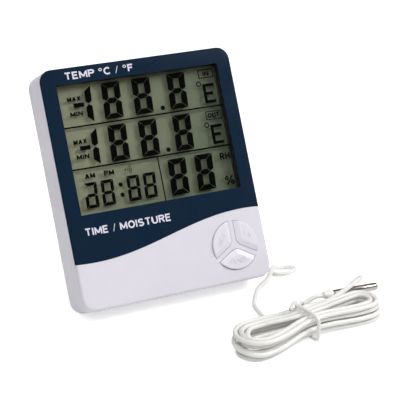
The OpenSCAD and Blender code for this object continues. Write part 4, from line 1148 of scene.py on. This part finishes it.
def banded(tree, share, stops):
    """Flat bands of colour, each from its own share of the length."""
    ramp = node(tree, "ShaderNodeValToRGB", {"Fac": share})
    ramp.color_ramp.interpolation = "CONSTANT"
    for i, (start, tone) in enumerate(stops):
        stop = ramp.color_ramp.elements[i] if i < 2 else ramp.color_ramp.elements.new(start)
        stop.position, stop.color = start, tone
    return ramp.outputs["Color"]


sleeve, tree, shader = new_material(
    "printed_sleeve", Specular_IOR_Level=0.5, Coat_Weight=0.3, Coat_Roughness=0.12)
along = along_bar(tree)
length_run = node(tree, "ShaderNodeSeparateXYZ", {"Vector": along}).outputs["X"]
share = maths(tree, "DIVIDE", length_run, cell_length * mm)
wrinkle = noise(tree, stretched(tree, along, 260, 5, 1), 1.0, 3)
feed(
    tree, shader,
    Base_Color=banded(tree, share, [
        (0.0, paint("#b9babd")), (bare_low, black), (0.085, gold), (0.1, black), (0.118, gold),
        (0.126, black), (0.6, blue), (0.93, black), (bare_high, paint("#c2c3c6"))]),
    Metallic=banded(tree, share, [(0.0, (1, 1, 1, 1)), (bare_low, (0, 0, 0, 1)), (bare_high, (1, 1, 1, 1))]),
    Roughness=remap(tree, wrinkle, 0.0, 1.0, 0.2, 0.36),
    Normal=embossed(tree, wrinkle, 0.15, 0.00005))
cell = turned_piece(
    "dry_cell", cell_steps, lambda d: placed_mm(cell_start + d, cell_depth, bay_height), 48, sleeve)
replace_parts(cell, "battery_cell")


# Battery contacts: a tapered coil of plated spring wire on a steel plate for the cell's flat end, and a brass
# plate with a pressed dimple for its nub. Both plates slide into slots in the bay's walls.
coil_x = -23.95
plate_half, plate_thick, plate_corner = 4.5, 0.4, 0.8
tree, sockets, given, made = layout_group(
    "contact_coil", Turns="Float", Wide_radius="Float", Narrow_radius="Float", Length="Float",
    Wire_radius="Float")
spiral = node(tree, "GeometryNodeCurveSpiral", {
    "Resolution": 36, "Rotations": given["Turns"], "Start Radius": given["Wide radius"],
    "End Radius": given["Narrow radius"], "Height": given["Length"]}).outputs[0]
wire = node(tree, "GeometryNodeCurvePrimitiveCircle", {
    "Resolution": 12, "Radius": given["Wire radius"]}).outputs[0]
coil = node(tree, "GeometryNodeCurveToMesh", {
    "Curve": spiral, "Profile Curve": wire, "Fill Caps": True}).outputs[0]
painted = node(tree, "GeometryNodeSetMaterial", {"Geometry": coil, "Material": tin}).outputs[0]
feed(tree, made, Geometry=node(tree, "GeometryNodeRealizeInstances", {"Geometry": painted}).outputs[0])
coil_mesh = laid_out(
    "contact_coil", [], tree, sockets, Turns=4.0, Wide_radius=2.75, Narrow_radius=1.9, Length=3.3,
    Wire_radius=0.25)
lying = Matrix.Translation((coil_x, cell_depth, bay_height)) @ Matrix.Rotation(math.radians(90), 4, "Y")
coil_mesh.transform(to_table @ lying)
coil_mesh.shade_smooth()
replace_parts(new_piece("contact_coil", coil_mesh, tin, "case"), "battery_spring")


def contact_plate(name, x, dimple, material):
    """A thin square plate across the bay, with rounded corners and a round dimple or a flat middle."""
    straight = plate_half - plate_corner
    outline = []
    for quarter, (left, low) in enumerate(((1, 1), (-1, 1), (-1, -1), (1, -1))):
        for k in range(5):
            a = math.pi / 2 * (quarter + k / 4)
            outline.append((
                left * straight + plate_corner * math.cos(a), low * straight + plate_corner * math.sin(a)))
    bm = bmesh.new()
    rims = []
    for s in (-1, 1):
        rings = []
        for share, lift in ((1, 0.0), (0.45, 0.0), (0.3, 0.35), (0.18, 0.85), (0.08, 1.0)):
            across = s * plate_thick / 2 - lift * dimple
            rings.append([bm.verts.new((across, u * share, v * share)) for u, v in outline])
        skin(bm, rings)
        bm.faces.new(rings[-1])
        rims.append(rings[0])
    skin(bm, rims)
    mesh = built(bm, name, 40, to_table @ Matrix.Translation((x, cell_depth, bay_height)))
    return new_piece(name, mesh, material, "case")


contact_plate("coil_plate", -24.4, 0.0, tin)
brass = plated_metal("brass_sheet", "#d2b068", "#a9873f", 0.24)
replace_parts(contact_plate("nub_plate", 24.4, -0.18, brass), "battery_contact")


# Back: the door over the bay and the folding stand are moulded with the case, in the same pale plastic. Two
# soft buttons reach through the cover, each with its word printed beside it.
smooth_copy("bay_door", "battery_door", case_pale, "battery_door", edge=0.15)
smooth_copy("folding_stand", "stand", case_pale, "stand", edge=0.2)
button_rubber = plastic("button_rubber", "#85868b", grain_mm=0.15, depth=0.3, gloss=0.6, dust=0.3)
for name in ("reset", "unit"):
    button = name + "_button"
    smooth_copy(name + "_cap", button, button_rubber, button, turn=50, edge=0.2)


def back_words(words, middle_x, middle_z, width, height, stroke):
    """Lettering centred on a place of the back, drawn as it is read from behind."""
    return [([(x - middle_x - width / 2, y + middle_z - height / 2) for x, y in points], faces)
            for points, faces in lettering(words, width, height, stroke)]


# Each word with its middle on the back, its width and height, and the width of the pen.
back_rows = [("RESET", 35.4, 51, 8.8, 2.1, 0.42), ("*C/*F", 35.1, 43, 8.0, 2.1, 0.42)]
back_sunk, back_thick = 0.02, 0.03
print_grey = plastic("print_grey_ink", "#6f6d78", grain_mm=0.12, depth=0.15, gloss=0.5, dust=0.1)
on_back = raised(
    "back_marks", [stroke for row in back_rows for stroke in back_words(*row)], case_depth - back_sunk,
    case_depth + back_thick, lambda x, depth, z: placed(-x, depth, z))
new_piece("back_marks", on_back, print_grey, "case")


# Cord sleeve: white soft PVC moulded round the cord, a flange inside the cover and a ribbed taper outside
# that keeps the cord from kinking. Its steps are depths in the case.
sleeve_steps = [
    (16.7, 3.2), (16.8, 3.3), (18.15, 3.3), (18.2, 2.2), (19.95, 2.15), (20.0, 2.9), (20.1, 3.0),
    (20.7, 2.95), (20.8, 2.6), (21.05, 2.6), (21.15, 2.65), (21.6, 2.45), (21.7, 2.1), (21.95, 2.1),
    (22.05, 2.15), (22.6, 1.85),
    (22.9, 1.68), (exit_depth, 1.55)]
cord_sleeve = turned_piece(
    "cord_sleeve", sleeve_steps, lambda d: placed_mm(exit_x, d, exit_z), 40, white_pvc)
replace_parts(cord_sleeve, "cord_grommet")


# Table and studio light: a white sheet under the object that is lit evenly further off, so no horizon shows.
# Soft square lamps stand in front to the right, in front to the left, behind to the left and above.
sheet_half, sheet_drop = 3, -0.00002
sheet_sides = ((-1, -1), (1, -1), (1, 1), (-1, 1))
sheet_corners = [(x * sheet_half, y * sheet_half, sheet_drop) for x, y in sheet_sides]
sheet_mesh = bpy.data.meshes.new("table_sheet")
sheet_mesh.from_pydata(sheet_corners, [], [(0, 1, 2, 3)])
sheet = into_scene("table_sheet", sheet_mesh)
white_sheet, tree, shader = new_material(
    "white_sheet", Roughness=0.9, Specular_IOR_Level=0.1, Emission_Color=(1, 1, 1, 1))
away = node(tree, "ShaderNodeVectorMath", {0: here(tree)}, operation="LENGTH").outputs["Value"]
far = remap(tree, away, 0.25, 0.7)
seen = node(tree, "ShaderNodeLightPath").outputs
shown = maths(tree, "MAXIMUM", seen["Is Camera Ray"], seen["Is Glossy Ray"])
feed(
    tree, shader, Base_Color=between(tree, far, (0.8, 0.8, 0.8, 1), (0, 0, 0, 1)),
    Emission_Strength=maths(tree, "MULTIPLY", shown, remap(tree, far, 0.0, 1.0, 0.6, 1.0)))
sheet_mesh.materials.append(white_sheet)

world = bpy.data.worlds.new("studio")
bpy.context.scene.world = world
world.use_nodes = True
tree = world.node_tree
plain = tree.nodes["Background"]
plain.inputs["Color"].default_value = (1, 1, 1, 1)
seen = node(tree, "ShaderNodeLightPath").outputs
shown = maths(tree, "MAXIMUM", seen["Is Camera Ray"], seen["Is Transmission Ray"])
feed(tree, plain, Strength=remap(tree, shown, 0.0, 1.0, 0.22, 1.0))
bpy.context.scene.view_settings.view_transform = "Standard"


def soft_lamp(name, direction, away, size, power):
    """A square lamp at a distance from the middle of the case, turned to it."""
    lamp = bpy.data.lights.new(name, "AREA")
    lamp.shape = "RECTANGLE"
    lamp.size, lamp.size_y = size, size
    lamp.energy = power
    lit = into_scene(name, lamp)
    lit.location = middle + away * Vector(direction).normalized()
    lit.rotation_euler = (middle - lit.location).to_track_quat("-Z", "Y").to_euler()


middle = placed(0, 0, 60)
soft_lamp("front_right_lamp", (0.68, -0.42, 0.66), 1.3, 0.45, 9.2)
soft_lamp("front_left_lamp", (-0.36, -0.6, 0.72), 1.4, 0.6, 6.4)
soft_lamp("back_lamp", (-0.3, 0.8, 0.5), 1.5, 0.7, 6.5)
soft_lamp("top_lamp", (0.1, -0.1, 1.0), 1.5, 1.0, 5)
